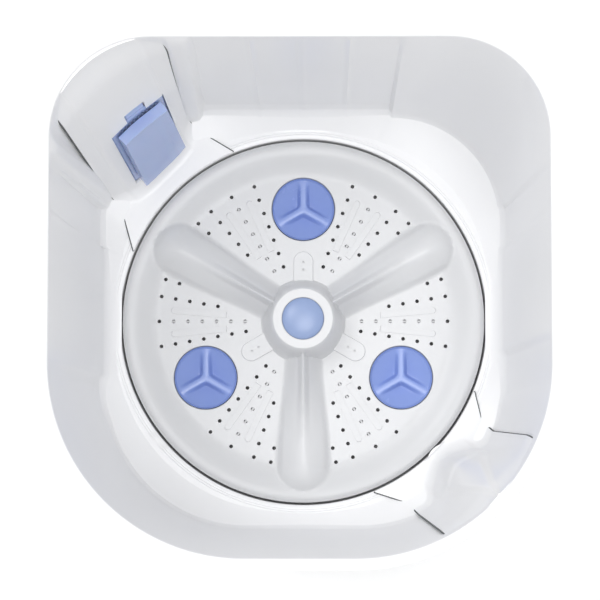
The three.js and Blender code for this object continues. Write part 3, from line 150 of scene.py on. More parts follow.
# ---- Camera and lights, in metres and watts: each light's name, place, size and power ----
CAMERA_PLACE = (0.02064, -0.13839, 2.59713)
CAMERA_AIM = (-0.00165, 0.00985, 0.5)
CAMERA_LENS = 130.5
LIGHTS = (("key", (-4.2, 3.0, 10.2), 4.2, 280), ("top", (0.75, -0.9, 11.7), 4.8, 400))
LIGHT_TARGET = (0, 0, 0.45)
WORLD_STRENGTH = 0.8
FLOOR_REACH = 7000.0  # millimetres


# ---- Numbers and profiles ----
def smooth(low, high, x):
    t = np.clip((np.asarray(x, float) - low) / (high - low), 0, 1)
    return t * t * (3 - 2 * t)


def mix(a, b, t):
    return a + (b - a) * t


def band(x, low, high, soft):
    """1 between low and high, 0 outside, with soft edges."""
    rise = smooth(low - soft / 2, low + soft / 2, x)
    return rise * (1 - smooth(high - soft / 2, high + soft / 2, x))


def polar(radius, degrees):
    return radius * math.cos(math.radians(degrees)), radius * math.sin(math.radians(degrees))


# ---- Mesh helpers: a solid is (vertices, faces) ----
ON_AXIS = 1e-7  # the radius of a turned profile's ends, where it closes on its axis


def grid_faces(rows, columns, closed_rows=False, closed_columns=False, start=0):
    faces = []
    for i in range(rows if closed_rows else rows - 1):
        a = start + i * columns
        b = start + ((i + 1) % rows) * columns
        for k in range(columns if closed_columns else columns - 1):
            m = (k + 1) % columns
            faces.append((a + k, a + m, b + m, b + k))
    return faces


def loft(rings, looped=False):
    """The skin through closed rings of points, with flat ends unless it closes on itself."""
    count = len(rings[0])
    faces = grid_faces(len(rings), count, closed_rows=looped, closed_columns=True)
    if not looped:
        top = (len(rings) - 1) * count
        faces.append(tuple(reversed(range(count))))
        faces.append(tuple(range(top, top + count)))
    return np.concatenate(rings), faces


def combine(*solids):
    vertices, faces, start = [], [], 0
    for points, polygons in solids:
        vertices.append(np.asarray(points, float))
        faces += [tuple(start + i for i in polygon) for polygon in polygons]
        start += len(points)
    return np.concatenate(vertices), faces


def moved(solid, x=0.0, y=0.0, z=0.0, turn=0.0):
    points = np.asarray(solid[0], float)
    c, s = math.cos(math.radians(turn)), math.sin(math.radians(turn))
    rotation = np.array([[c, -s, 0], [s, c, 0], [0, 0, 1]])
    return points @ rotation.T + np.array([x, y, z]), solid[1]


def circle(sides):
    """The angles of points spaced evenly round a circle."""
    return np.arange(sides) * 2 * math.pi / sides


def turned(profile, sides=64):
    """A turned piece from (radius, height) pairs, closed where they start and end on the axis."""
    angles = circle(sides)
    rings = [
        np.stack([r * np.cos(angles), r * np.sin(angles), np.full(sides, h)], 1) for r, h in profile
    ]
    return loft(rings, looped=profile[0][0] > ON_AXIS * 10)


def rod(radius, low, high, sides=48):
    return turned([(ON_AXIS, low), (radius, low), (radius, high), (ON_AXIS, high)], sides)


def rounded_rectangle(width, height, radius, steps=6):
    points = []
    for cx, cy, start in ((1, 1, 0), (-1, 1, 90), (-1, -1, 180), (1, -1, 270)):
        for k in range(steps + 1):
            t = math.radians(start + 90 * k / steps)
            x = cx * (width / 2 - radius) + radius * math.cos(t)
            y = cy * (height / 2 - radius) + radius * math.sin(t)
            points.append((x, y))
    return np.array(points)


def slab(width, height, depth, radius=2.0, bevel=0.6, steps=6):
    """A plate with rounded corners and bevelled edges, centred, with its thickness along Z."""
    rings = []
    bevel = min(bevel, depth / 2 - 0.01)
    for inset, z in ((bevel, 0), (bevel * 0.3, bevel * 0.3), (0, bevel)):
        corner = max(radius - inset, 0.05)
        outline = rounded_rectangle(width - 2 * inset, height - 2 * inset, corner, steps)
        rings.append(np.column_stack([outline, np.full(len(outline), z)]))
    rings += [ring * [1, 1, 0] + [0, 0, depth - ring[0, 2]] for ring in reversed(rings)]
    return loft(rings)


def tube(path, radius, sides):
    """A round bead along a path, with flat ends."""
    path = np.asarray(path, float)
    tangents = np.gradient(path, axis=0)
    tangents /= np.linalg.norm(tangents, axis=1, keepdims=True)
    normal = np.cross(tangents[0], [0.0, 0.0, 1.0])
    if np.linalg.norm(normal) < 1e-3:
        normal = np.cross(tangents[0], [1.0, 0.0, 0.0])
    angles = circle(sides)
    rings = []
    for point, tangent in zip(path, tangents):
        normal = normal - tangent * (normal @ tangent)
        normal /= np.linalg.norm(normal)
        side = np.cross(tangent, normal)
        turn = np.outer(np.cos(angles), normal) + np.outer(np.sin(angles), side)
        rings.append(point + radius * turn)
    return loft(rings)


def thick_sheet(points, normals, thickness):
    """A closed sheet from a grid of points, as thick as stated behind them."""
    rows, columns = points.shape[:2]
    front = points.reshape(-1, 3)
    back = (points - normals * thickness).reshape(-1, 3)
    total = len(front)
    faces = grid_faces(rows, columns)
    faces += [tuple(total + i for i in reversed(face)) for face in grid_faces(rows, columns)]
    edge = list(range(columns))
    edge += [j * columns + columns - 1 for j in range(1, rows)]
    edge += [(rows - 1) * columns + i for i in range(columns - 2, -1, -1)]
    edge += [j * columns for j in range(rows - 2, 0, -1)]
    for k, a in enumerate(edge):
        b = edge[(k + 1) % len(edge)]
        faces.append((b, a, total + a, total + b))
    return np.concatenate([front, back]), faces


def grid_normals(points):
    du = np.gradient(points, axis=1)
    dv = np.gradient(points, axis=0)
    normals = np.cross(du, dv)
    return normals / np.maximum(np.linalg.norm(normals, axis=2, keepdims=True), 1e-9)


def make_object(name, solid):
    mesh = bpy.data.meshes.new(name)
    mesh.from_pydata((np.asarray(solid[0]) * MM).tolist(), [], solid[1])
    work = bmesh.new()
    work.from_mesh(mesh)
    bmesh.ops.remove_doubles(work, verts=work.verts, dist=1e-6)
    bmesh.ops.recalc_face_normals(work, faces=work.faces)
    work.to_mesh(mesh)
    work.free()
    obj = bpy.data.objects.new(name, mesh)
    scene.collection.objects.link(obj)
    return obj


def boolean(obj, solid, operation):
    tool = make_object("tool", solid)
    modifier = obj.modifiers.new("cut", "BOOLEAN")
    modifier.operation = operation
    modifier.object = tool
    modifier.solver = "EXACT"
    graph = bpy.context.evaluated_depsgraph_get()
    mesh = bpy.data.meshes.new_from_object(obj.evaluated_get(graph))
    obj.modifiers.clear()
    obj.data = mesh
    bpy.data.objects.remove(tool)
    return obj


def dress(obj, body, material, replaces=(), sharp=32):
    obj.data.materials.clear()
    obj.data.materials.append(material)
    obj.data.shade_smooth()
    obj.data.set_sharp_from_angle(angle=math.radians(sharp))
    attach(obj, body)
    if replaces:
        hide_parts(*replaces)
    return obj


def add_piece(name, solid, body, material, replaces=(), sharp=32):
    return dress(make_object(name, solid), body, material, replaces, sharp)


# ---- Materials ----
class Nodes:
    """A material's node tree, with short ways to add and join nodes."""

    def __init__(self, name):
        self.material = bpy.data.materials.new(name)
        self.material.use_nodes = True
        self.tree = self.material.node_tree
        self.shader = self.tree.nodes["Principled BSDF"]
        self.place = self.tree.nodes.new("ShaderNodeTexCoord").outputs["Object"]

    def add(self, kind, inputs=(), **settings):
        node = self.tree.nodes.new(kind)
        for key, value in settings.items():
            setattr(node, key, value)
        for key, value in dict(inputs).items():
            if isinstance(value, bpy.types.NodeSocket):
                self.tree.links.new(value, node.inputs[key])
            else:
                node.inputs[key].default_value = value
        return node

    def join(self, output, input_name):
        self.tree.links.new(output, self.shader.inputs[input_name])

    def noise(self, scale, detail=3.0, stretch=None):
        place = self.place
        if stretch:
            mapping = self.add("ShaderNodeMapping", {"Vector": place, "Scale": stretch})
            place = mapping.outputs["Vector"]
        inputs = {"Vector": place, "Scale": scale, "Detail": detail}
        return self.add("ShaderNodeTexNoise", inputs).outputs["Fac"]

    def ramp(self, factor, low, high, start=0.3, end=0.7):
        node = self.add("ShaderNodeValToRGB", {"Fac": factor})
        node.color_ramp.elements[0].position = start
        node.color_ramp.elements[1].position = end
        node.color_ramp.elements[0].color = low
        node.color_ramp.elements[1].color = high
        return node.outputs["Color"]

    def colour(self, factor, base, spread):
        low = tuple(max(0.0, c * (1 - spread)) for c in base) + (1.0,)
        high = tuple(min(1.0, c * (1 + spread)) for c in base) + (1.0,)
        self.join(self.ramp(factor, low, high), "Base Color")

    def roughness(self, factor, low, high):
        inputs = {"Value": factor, "To Min": low, "To Max": high}
        self.join(self.add("ShaderNodeMapRange", inputs).outputs["Result"], "Roughness")

    def bump(self, height, strength, distance):
        inputs = {"Height": height, "Strength": strength, "Distance": distance}
        self.join(self.add("ShaderNodeBump", inputs).outputs["Normal"], "Normal")


def plastic(name, base, rough, spread, grain=900.0, depth=0.00004):
    """Moulded plastic: slightly uneven colour and gloss, with a very fine moulded grain."""
    nodes = Nodes(name)
    nodes.colour(nodes.noise(7.0), base, spread)
    nodes.roughness(nodes.noise(26.0), *rough)
    nodes.bump(nodes.noise(grain, 2.0), 0.25, depth)
    return nodes.material


def metal(name, base, rough=(0.28, 0.45), stretch=None, grain=260.0, depth=0.00005, spread=0.1):
    """Bare metal with a fine finish, drawn out along an axis where stretch says so."""
    nodes = Nodes(name)
    nodes.shader.inputs["Metallic"].default_value = 1.0
    fine = nodes.noise(grain, 4.0, stretch)
    nodes.colour(nodes.noise(18.0), base, spread)
    nodes.roughness(fine, *rough)
    nodes.bump(fine, 0.4, depth)
    return nodes.material


def rubber(name, base=(0.022, 0.022, 0.023)):
    nodes = Nodes(name)
    nodes.colour(nodes.noise(30.0), base, 0.25)
    nodes.roughness(nodes.noise(60.0), 0.62, 0.8)
    nodes.bump(nodes.noise(700.0, 3.0), 0.5, 0.0001)
    return nodes.material


def wound_copper(name):
    """Enamelled wire, drawn as fine turns."""
    nodes = Nodes(name)
    nodes.shader.inputs["Metallic"].default_value = 0.9
    inputs = {"Vector": nodes.place, "Scale": 420.0, "Distortion": 1.5}
    wave = nodes.add("ShaderNodeTexWave", inputs, bands_direction="Z").outputs["Fac"]
    nodes.join(nodes.ramp(wave, (0.32, 0.1, 0.03, 1), (0.62, 0.27, 0.1, 1), 0.2, 0.8), "Base Color")
    nodes.roughness(nodes.noise(90.0), 0.28, 0.42)
    nodes.bump(wave, 0.6, 0.0003)
    return nodes.material


def laminated(name):
    """Stacked electrical steel."""
    nodes = Nodes(name)
    nodes.shader.inputs["Metallic"].default_value = 1.0
    inputs = {"Vector": nodes.place, "Scale": 300.0}
    wave = nodes.add("ShaderNodeTexWave", inputs, bands_direction="Z").outputs["Fac"]
    nodes.join(nodes.ramp(wave, (0.2, 0.2, 0.21, 1), (0.42, 0.42, 0.44, 1), 0.3, 0.6), "Base Color")
    nodes.roughness(nodes.noise(120.0), 0.4, 0.6)
    nodes.bump(wave, 0.5, 0.0002)
    return nodes.material


def clear_blue(name, base):
    """Thin translucent plastic."""
    nodes = Nodes(name)
    nodes.colour(nodes.noise(9.0), base, 0.03)
    nodes.roughness(nodes.noise(30.0), 0.16, 0.24)
    nodes.bump(nodes.noise(800.0, 2.0), 0.2, 0.00004)
    nodes.shader.inputs["Subsurface Weight"].default_value = 0.15
    nodes.shader.inputs["Subsurface Scale"].default_value = 0.004
    return nodes.material


WHITE = plastic("white plastic", (0.93, 0.932, 0.94), (0.26, 0.36), 0.006)
# The pulsator's plastic is the white plastic darkened, as painted shade on the pulsator.
PULSATOR_SHADED_WHITE = plastic("pulsator plastic with painted shade", (0.675, 0.68, 0.69), (0.3, 0.4), 0.006)
BODY_WHITE = plastic("cabinet plastic", (0.86, 0.868, 0.875), (0.34, 0.46), 0.01, 520.0, 0.0001)
BLUE = plastic("blue plastic", (0.24, 0.33, 0.68), (0.22, 0.3), 0.02)
CAP_BLUE = plastic("cap plastic", (0.275, 0.36, 0.58), (0.26, 0.36), 0.015)
PALE_BLUE = clear_blue("pale blue plastic", (0.4, 0.5, 0.8))
GREY = plastic("grey plastic", (0.36, 0.38, 0.41), (0.42, 0.56), 0.03, 600.0, 0.0001)
PANEL_GREY = plastic("panel plastic", (0.5, 0.52, 0.56), (0.36, 0.48), 0.02, 1400.0, 0.0001)
BLACK = plastic("black plastic", (0.03, 0.031, 0.034), (0.4, 0.55), 0.1, 600.0, 0.0001)
# A dark colour for the strips along the covers' borders: painted shadow of the gaps there.
SHADOW_LINE_DARK = plastic("painted shadow line", (0.1, 0.105, 0.11), (0.5, 0.65), 0.08)
RUBBER = rubber("rubber")
STEEL = metal("steel", (0.55, 0.56, 0.58))
BRUSHED = metal("turned steel", (0.6, 0.61, 0.63), (0.2, 0.34), (1, 1, 30), 90.0)
CAST = metal("cast aluminium", (0.6, 0.61, 0.62), (0.42, 0.6), None, 140.0, 0.0003, 0.06)
BRONZE = metal("bronze", (0.52, 0.34, 0.14), (0.35, 0.5), None, 300.0, 0.0001, 0.12)
COPPER = wound_copper("copper windings")
CORE = laminated("laminated steel")


# ---- The tub ----
def rim_stations():
    """Points close together round the rim's outer outline, and the way outwards at each."""
    a, b = WIDTH / 2, DEPTH / 2
    corners = ((a - BACK_R, b - BACK_R, BACK_R, 0, 26), (BACK_R - a, b - BACK_R, BACK_R, 90, 26),
               (FRONT_R - a, FRONT_R - b, FRONT_R, 180, 40), (a - FRONT_R, FRONT_R - b, FRONT_R, 270, 40))
    points, normals = [], []
    for k, (x, y, r, start, steps) in enumerate(corners):
        for i in range(steps + 1):
            cx, sy = polar(1, start + 90 * i / steps)
            points.append((x + r * cx, y + r * sy))
            normals.append((cx, sy))
        nx, ny, nr, n_start, _ = corners[(k + 1) % 4]
        cx, sy = polar(1, n_start)
        end = np.array([nx + nr * cx, ny + nr * sy])
        begin = np.array(points[-1])
        count = max(2, int(np.linalg.norm(end - begin) / 3.0))
        for i in range(1, count):
            points.append(tuple(mix(begin, end, i / count)))
            normals.append((cx, sy))
    return np.array(points), np.array(normals)


RIM_POINTS, RIM_NORMALS = rim_stations()


def outline_distance(points, inset, back_r, front_r):
    """Signed distance of points from the rounded outline at an inset; negative inside."""
    radius = np.where(points[:, 1] > 0, back_r, front_r)
    qx = np.abs(points[:, 0]) - (WIDTH / 2 - inset - radius)
    qy = np.abs(points[:, 1]) - (DEPTH / 2 - inset - radius)
    outside = np.hypot(np.maximum(qx, 0), np.maximum(qy, 0))
    return outside + np.minimum(np.maximum(qx, qy), 0) - radius


def ring_at(inset, z, back_r=None, front_r=None):
    """The outline at an inset, with its points on the lines that run inwards from the rim's stations."""
    back_r = BACK_R - inset if back_r is None else back_r
    front_r = FRONT_R - inset if front_r is None else front_r
    points = RIM_POINTS - RIM_NORMALS * inset
    for _ in range(12):
        points = points - RIM_NORMALS * outline_distance(points, inset, back_r, front_r)[:, None]
    return np.column_stack([points, np.full(len(points), float(z))])


FLOOR_RING = ring_at(FLOOR_INSET, FLOOR_Z, FLOOR_BACK_R, FLOOR_FRONT_R)


def circle_at(radius, z):
    """A circle with its points in the same directions as the floor's outline."""
    directions = FLOOR_RING[:, :2] / np.linalg.norm(FLOOR_RING[:, :2], axis=1, keepdims=True)
    return np.column_stack([directions * radius, np.full(len(directions), float(z))])


def wall_relief(ring):
    """How far the moulded wall stands out of its plain draft: panels, pilasters, seams and ribs."""
    x, y, z = ring.T
    height = np.clip((z - FLOOR_Z - FLOOR_FILLET) / WALL_HEIGHT, 0, 1)
    base = np.clip((z - FLOOR_Z) / FLOOR_FILLET, 0, 1)
    back = smooth(0.95, 0.999, RIM_NORMALS[:, 1])
    left = smooth(0.95, 0.999, -RIM_NORMALS[:, 0])
    right = smooth(0.95, 0.999, RIM_NORMALS[:, 0])
    recess = PANEL_DEPTH * (1 - 0.75 * height)
    slant = 5 * (1 - height)
    out = back * recess * band(x, BACK_PANEL[0] - slant * 2, BACK_PANEL[1], 3)
    out -= back * 1.3 * sum(band(x, *groove, 2.5) for groove in BACK_GROOVES)
    pilaster = band(x, BACK_PILASTER[0] - slant, BACK_PILASTER[1] - slant * 2, 5) * (y > 150)
    out -= PILASTER_RISE * np.clip(pilaster, 0, 1) * (1 - 0.3 * height)
    side_pilaster = band(y, *LEFT_PILASTER, 5) * (x < -150)
    out -= PILASTER_RISE * side_pilaster * (1 - 0.3 * height)
    rear, front = LEFT_PANELS
    fading = band(y, *front, 4) * smooth(front[0], front[0] + 25, y)
    out += left * recess * 0.8 * (band(y, *rear, 3) + fading)
    out += left * 0.9 * band(y, *LEFT_GROOVE, 2)
    out += right * recess * 0.4 * sum(band(y, *panel, 3) for panel in RIGHT_PANELS)
    fade = 1 - smooth(0.94, 1.0, height)
    return out * fade * base


def wall_ring(z, offset=0.0):
    """The wall at a height, down to the floor round its fillet, or a skin outside it."""
    sunk = min(1.0, max(0.0, (RIM_Z - z) / WALL_HEIGHT))
    drop = max(0.0, FLOOR_Z + FLOOR_FILLET - z)
    turn = math.asin(min(1.0, drop / FLOOR_FILLET))
    inwards = FLOOR_FILLET * (1 - math.cos(turn))
    inset = mix(RIM_WIDTH, FLOOR_INSET, sunk) + inwards
    back_r = mix(BACK_R - RIM_WIDTH, FLOOR_BACK_R, sunk) - inwards
    front_r = mix(FRONT_R - RIM_WIDTH, FLOOR_FRONT_R, sunk) - inwards
    ring = ring_at(inset - offset, z, back_r + offset, front_r + offset)
    ring[:, :2] += RIM_NORMALS * wall_relief(ring)[:, None]
    return ring


def raised_circle(radius, rise):
    """A ring on the tub floor, higher where the raised lip runs."""
    ring = circle_at(radius, FLOOR_Z)
    angle = np.degrees(np.arctan2(ring[:, 1], ring[:, 0]))
    gap = band(angle, 174.5, 178.5, 1.5) + band(angle, -142, -139, 1.5) + band(angle, -2, 4, 1.5)
    ring[:, 2] += rise * (1 - gap)
    return ring


def underside_rings():
    """From the recess's bore, under the floor and up outside the wall."""
    low = RECESS_Z - TUB_WALL
    rings = [circle_at(RECESS_BORE_R, low), circle_at(RECESS_R + TUB_WALL, low)]
    rings.append(circle_at(RECESS_R + TUB_WALL, FLOOR_Z - TUB_WALL))
    return rings + [wall_ring(z, TUB_WALL) for z in np.linspace(FLOOR_Z + 8, RIM_Z - 14, 14)]


def rim_rings():
    """Under the rim's flange, round its skirt and over its two rounded edges."""
    below = RIM_Z - TUB_WALL
    foot = RIM_Z - SKIRT
    rings = [ring_at(RIM_WIDTH - TUB_WALL, below), ring_at(TUB_WALL, below)]
    rings += [ring_at(TUB_WALL, foot), ring_at(0.6, foot), ring_at(0, foot + 0.6)]
    arc = np.radians(np.arange(0, 91, 15))
    rings += [ring_at(2.0 * (1 - math.sin(t)), RIM_Z - 2.0 * (1 - math.cos(t))) for t in arc]
    for t in arc:
        rings.append(ring_at(RIM_WIDTH - 3.0 * (1 - math.sin(t)), RIM_Z - 3.0 * (1 - math.cos(t))))
    return rings


def inside_rings():
    """Down the wall, round the fillet, over the floor's raised lip and into the recess."""
    rings = [wall_ring(z) for z in np.linspace(RIM_Z - 6, FLOOR_Z + FLOOR_FILLET, 34)]
    for t in np.radians(np.arange(10, 91, 10)):
        rings.append(wall_ring(FLOOR_Z + FLOOR_FILLET * (1 - math.sin(t))))
    for away, rise in ((9, 0), (7.6, 0), (6.8, 0.9), (5.4, 0.9), (4.4, 0)):
        rings.append(raised_circle(RECESS_R + away, rise))
    edge = ((1.6, FLOOR_Z), (0.5, FLOOR_Z - 0.5), (0, FLOOR_Z - 1.6))
    foot = ((0, RECESS_Z + 4), (-1.2, RECESS_Z + 1.2), (-4, RECESS_Z))
    rings += [circle_at(RECESS_R + away, z) for away, z in edge + foot]
    return rings + [circle_at(RECESS_BORE_R, RECESS_Z)]


def upright(x, y, low, high, radius, sides=32):
    return moved(rod(radius, low, high, sides), x, y)


def wash_tub():
    rings = underside_rings() + rim_rings() + inside_rings()
    obj = make_object("tub", loft(rings, looped=True))
    boolean(obj, upright(PORT_X, PORT_Y, RECESS_Z - 25.8, RECESS_Z - 1, PORT_R + 2.5), "UNION")
    seat = ((28, -1), (62, -1), (62, 5), (61, 6), (28, 6))
    boolean(obj, turned([(r, RECESS_Z + rise) for r, rise in seat]), "UNION")
    holes = [upright(PORT_X, PORT_Y, RECESS_Z - 32, RECESS_Z + 5, PORT_R)]
    holes += [upright(*polar(BOLT_ORBIT, a), RECESS_Z - 4, RECESS_Z + 3, 3.3) for a in ARM_ANGLES]
    holes.append(upright(OVERFLOW_AT, -OVERFLOW_AT, FLOOR_Z - 10, FLOOR_Z + 10, 8.3))
    boolean(obj, combine(*holes), "DIFFERENCE")
    return dress(obj, "machine", WHITE, ["wash_tub"], 40)


# ---- The corner covers ----
def diagonal(degrees):
    """Places points by their distance along a corner's diagonal and their offset beside it."""
    cx, sy = polar(1, degrees)

    def place(distance, offset, z):
        x = cx * distance + sy * offset
        y = sy * distance - cx * offset
        return np.stack(np.broadcast_arrays(x, y, z), -1)

    return place


def wall_distance(offset, z, rim_r, floor_r):
    """How far out along the diagonal the tub's corner wall is."""
    sunk = np.clip((RIM_Z - z) / WALL_HEIGHT, 0, 1)
    inset = mix(RIM_WIDTH, FLOOR_INSET, sunk)
    corner_r = mix(rim_r - RIM_WIDTH, floor_r, sunk)
    cx, cy = WIDTH / 2 - inset - corner_r, DEPTH / 2 - inset - corner_r
    s = offset + (cx - cy) / math.sqrt(2)
    return (cx + cy) / math.sqrt(2) + np.sqrt(np.maximum(0, corner_r ** 2 - s ** 2))


def height_share(z):
    return np.clip((z - FLOOR_Z) / TUB_DEPTH, 0, 1)


def to_the_rim(z):
    """Brings a cover's top edge flush with the tub wall under the rim."""
    return (COVER_OFF_WALL + 2.2) * smooth(RIM_Z - 60, RIM_Z - 6, z)


class Duct:
    """The circulation duct's cover in the back left corner: s runs from -1 to 1 across it."""

    place = staticmethod(diagonal(135))

    @staticmethod
    def offset(s, z):
        return COVER_HALF * s + mix(6, 18, height_share(z))

    @staticmethod
    def face(s, z):
        bulge = mix(27, 3, height_share(z)) * (1 - np.abs(s) ** 2.5)
        wall = wall_distance(Duct.offset(s, z), z, BACK_R, FLOOR_BACK_R)
        return wall - COVER_OFF_WALL - bulge

    @staticmethod
    def crease(s, z):
        """A soft fold between the raised face and the lower flanges beside it."""
        fold = -2.2 * (1 - smooth(0.66, 0.74, np.abs(s))) * (1 - 0.5 * height_share(z))
        return fold + to_the_rim(z)


class Overflow:
    """The overflow's cover in the front right corner."""

    place = staticmethod(diagonal(-45))

    @staticmethod
    def offset(s, z):
        return COVER_HALF * s

    @staticmethod
    def face(s, z):
        most = mix(26, 3, smooth(0.4, 0.95, height_share(z)))
        wall = wall_distance(Overflow.offset(s, z), z, FRONT_R, FLOOR_FRONT_R)
        return wall - COVER_OFF_WALL - most * (1 - smooth(0, 0.85, np.abs(s)))

    @staticmethod
    def crease(s, z):
        """The hood's round mouth with two ledges over it."""
        share = height_share(z)
        inside = 1 - smooth(0.5, 0.62, np.abs(s) + 0.9 * np.maximum(0, share - 0.35))
        return -3.5 * inside - 2.0 * inside * band(share, 0.42, 0.5, 0.03) + to_the_rim(z)


def cover_points(shape):
    """The cover's face: down the wall, round a fillet, along the floor to the pulsator."""
    across, along = COVER_GRID
    s = np.linspace(-1, 1, across)
    rows = []
    fillet_top = COVER_FOOT_Z + COVER_FILLET
    for z in np.linspace(COVER_TOP_Z, fillet_top, along):
        z = np.full(across, z)
        rows.append(shape.place(shape.face(s, z) + shape.crease(s, z), shape.offset(s, z), z))
    level = np.full(across, fillet_top)
    foot = shape.face(s, level) + shape.crease(s, level)
    offset = shape.offset(s, level)
    for turn in np.radians(np.arange(7.5, 90.1, 7.5)):
        z = np.full(across, COVER_FOOT_Z + COVER_FILLET * (1 - math.sin(turn)))
        rows.append(shape.place(foot - COVER_FILLET * (1 - math.cos(turn)), offset, z))
    start = rows[-1]
    angle = np.radians(COVER_HALF_ANGLE) * s
    floor = np.full(across, COVER_FOOT_Z)
    edge = shape.place(COVER_EDGE_R * np.cos(angle), COVER_EDGE_R * np.sin(angle), floor)
    rows += [mix(start, edge, t) for t in np.linspace(0, 1, 14)[1:]]
    return np.array(rows)


def cover_sheet(shape):
    points = cover_points(shape)
    return thick_sheet(points, -grid_normals(points), COVER_WALL)


def filter_shift(z):
    return mix(11, 20, (z - FILTER_LOW) / (FILTER_HIGH - FILTER_LOW))


def duct_prism(half, low, high):
    """A leaning block through the duct's cover, for the filter's and the clip's windows."""
    near, far = WINDOW_REACH

    def level(z):
        corners = ((near, -half), (near, half), (far, half), (far, -half))
        return np.array([Duct.place(d, o + filter_shift(z), z) for d, o in corners])

    return loft([level(low), level(high)])


def duct_cover():
    obj = make_object("duct", cover_sheet(Duct))
    window = duct_prism(FILTER_HALF + CLEAR, FILTER_LOW - CLEAR, FILTER_HIGH + CLEAR)
    boolean(obj, window, "DIFFERENCE")
    boolean(obj, duct_prism(LATCH_HALF + CLEAR, FILTER_HIGH, LATCH_HIGH + 1), "DIFFERENCE")
    return dress(obj, "machine", WHITE, ["duct_cover"], 40)


def overflow_cover():
    sheet = cover_sheet(Overflow)
    return add_piece(
        "overflow_hood", sheet, "machine", WHITE, ["overflow_cover"], 40
    )


def shadow_line_strip(name, shape, side):
    """A thin dark strip along a cover's border, just off the tub: painted shadow standing in for the shade
    of the gap there.
    """
    points = cover_points(shape)
    edge, inner = (0, 1) if side < 0 else (-1, -2)
    column = points[2:, edge]
    outwards = column - points[2:, inner]
    outwards /= np.linalg.norm(outwards, axis=1, keepdims=True)
    path = column + outwards * 0.45
    normals = -grid_normals(points)[2:, edge]
    path = path - normals * 1.3
    return add_piece(name, tube(path[::2], 0.9, 8), "machine", SHADOW_LINE_DARK)


def slab_points(half, low, high, columns, rows):
    """A patch of the duct cover's face, with each point's distance across it and its height."""
    z = np.linspace(high, low, rows)[:, None] + np.zeros((1, columns))
    across = np.linspace(-half, half, columns)[None, :] + np.zeros((rows, 1))
    offset = across + filter_shift(z)
    s = (offset - Duct.offset(0, z)) / COVER_HALF
    return Duct.place(Duct.face(s, z), offset, z), across, z


def backed_sheet(front, back, normals):
    """A closed sheet between two grids of points."""
    vertices, faces = thick_sheet(front, normals, 1.0)
    vertices[front.shape[0] * front.shape[1]:] = back.reshape(-1, 3)
    return vertices, faces


def filter_front():
    """The lint filter's face, with a boat-shaped finger grip and two fields of slots."""
    points, across, z = slab_points(FILTER_HALF, FILTER_LOW, FILTER_HIGH, 129, 164)
    normals = -grid_normals(points)
    height = z - FILTER_LOW
    u = (across - GRIP_AT[0]) / GRIP_HALF[0]
    v = (height - GRIP_AT[1] - 8 * u) / GRIP_HALF[1]
    lens = np.abs(v) / np.maximum(0.02, 1 - u ** 2 * 0.8) + 0.25 * u ** 2
    sunk = 1 - smooth(0.25, 1.05, lens)
    inside = (np.abs(u) < 1.02) * (lens < 1.2)
    ridges = 0.5 * (np.cos(lens * 6 * math.pi) + 1) * inside * smooth(0.2, 0.4, lens)
    depth = GRIP_DEPTH * sunk * inside - 0.8 * ridges
    ends = np.minimum(height, FILTER_HIGH - FILTER_LOW - height)
    border = np.minimum(FILTER_HALF - np.abs(across), ends)
    depth = depth + 0.9 * (1 - smooth(0, 1.6, border))
    front = points - normals * depth[..., None]
    back = points - normals * (COVER_WALL + GRIP_DEPTH * (sunk * inside))[..., None]
    return backed_sheet(front, back, normals)


def slot_cutter(offset, z):
    """What cuts one slot through the filter's face, at an offset and a height."""
    through, across, up = SLOT_BOX
    place = offset + filter_shift(z)
    s = (place - Duct.offset(0, z)) / COVER_HALF
    face = float(Duct.face(np.array(s), np.array(z)))
    corners = ((-through, -across), (-through, across), (through, across), (through, -across))

    def level(height):
        return np.array([Duct.place(face + d, place + o, height) for d, o in corners])

    return loft([level(z - up), level(z + up)])


def slot_field(low, high, rows, half=21, count=9):
    """Rows of slots, each row set over a little from the last."""
    slots = []
    for j in range(rows):
        z = mix(low, high, j / (rows - 1))
        shift = 1.2 if j % 2 else -1.2
        slots += [slot_cutter(mix(-half, half, i / (count - 1)) + shift, z) for i in range(count)]
    return combine(*slots)


def lint_filter():
    obj = make_object("filter", filter_front())
    boolean(obj, slot_field(FILTER_HIGH - 42, FILTER_HIGH - 10, 4), "DIFFERENCE")
    boolean(obj, slot_field(FILTER_LOW + 8, FILTER_LOW + 34, 3), "DIFFERENCE")
    return dress(obj, "lint_filter", PALE_BLUE, ["lint_filter_front"], 30)


def filter_latch():
    """The ridged thumb clip over the filter."""
    points, across, z = slab_points(LATCH_HALF, LATCH_LOW, LATCH_HIGH, 33, 41)
    normals = -grid_normals(points)
    share = (z - LATCH_LOW) / (LATCH_HIGH - LATCH_LOW)
    ridges = 1.1 * (0.5 + 0.5 * np.cos(share * 2 * math.pi * 2.5))
    ends = np.minimum(z - LATCH_LOW, LATCH_HIGH - z)
    edge = 1 - smooth(0, 1.2, np.minimum(LATCH_HALF - np.abs(across), ends))
    front = points + normals * (ridges * (1 - edge) - 0.7 * edge)[..., None]
    clip = backed_sheet(front, points - normals * 2.0, normals)
    return add_piece(
        "filter_clip", clip, "filter_latch", PALE_BLUE, ["lint_filter_latch"], 30
    )


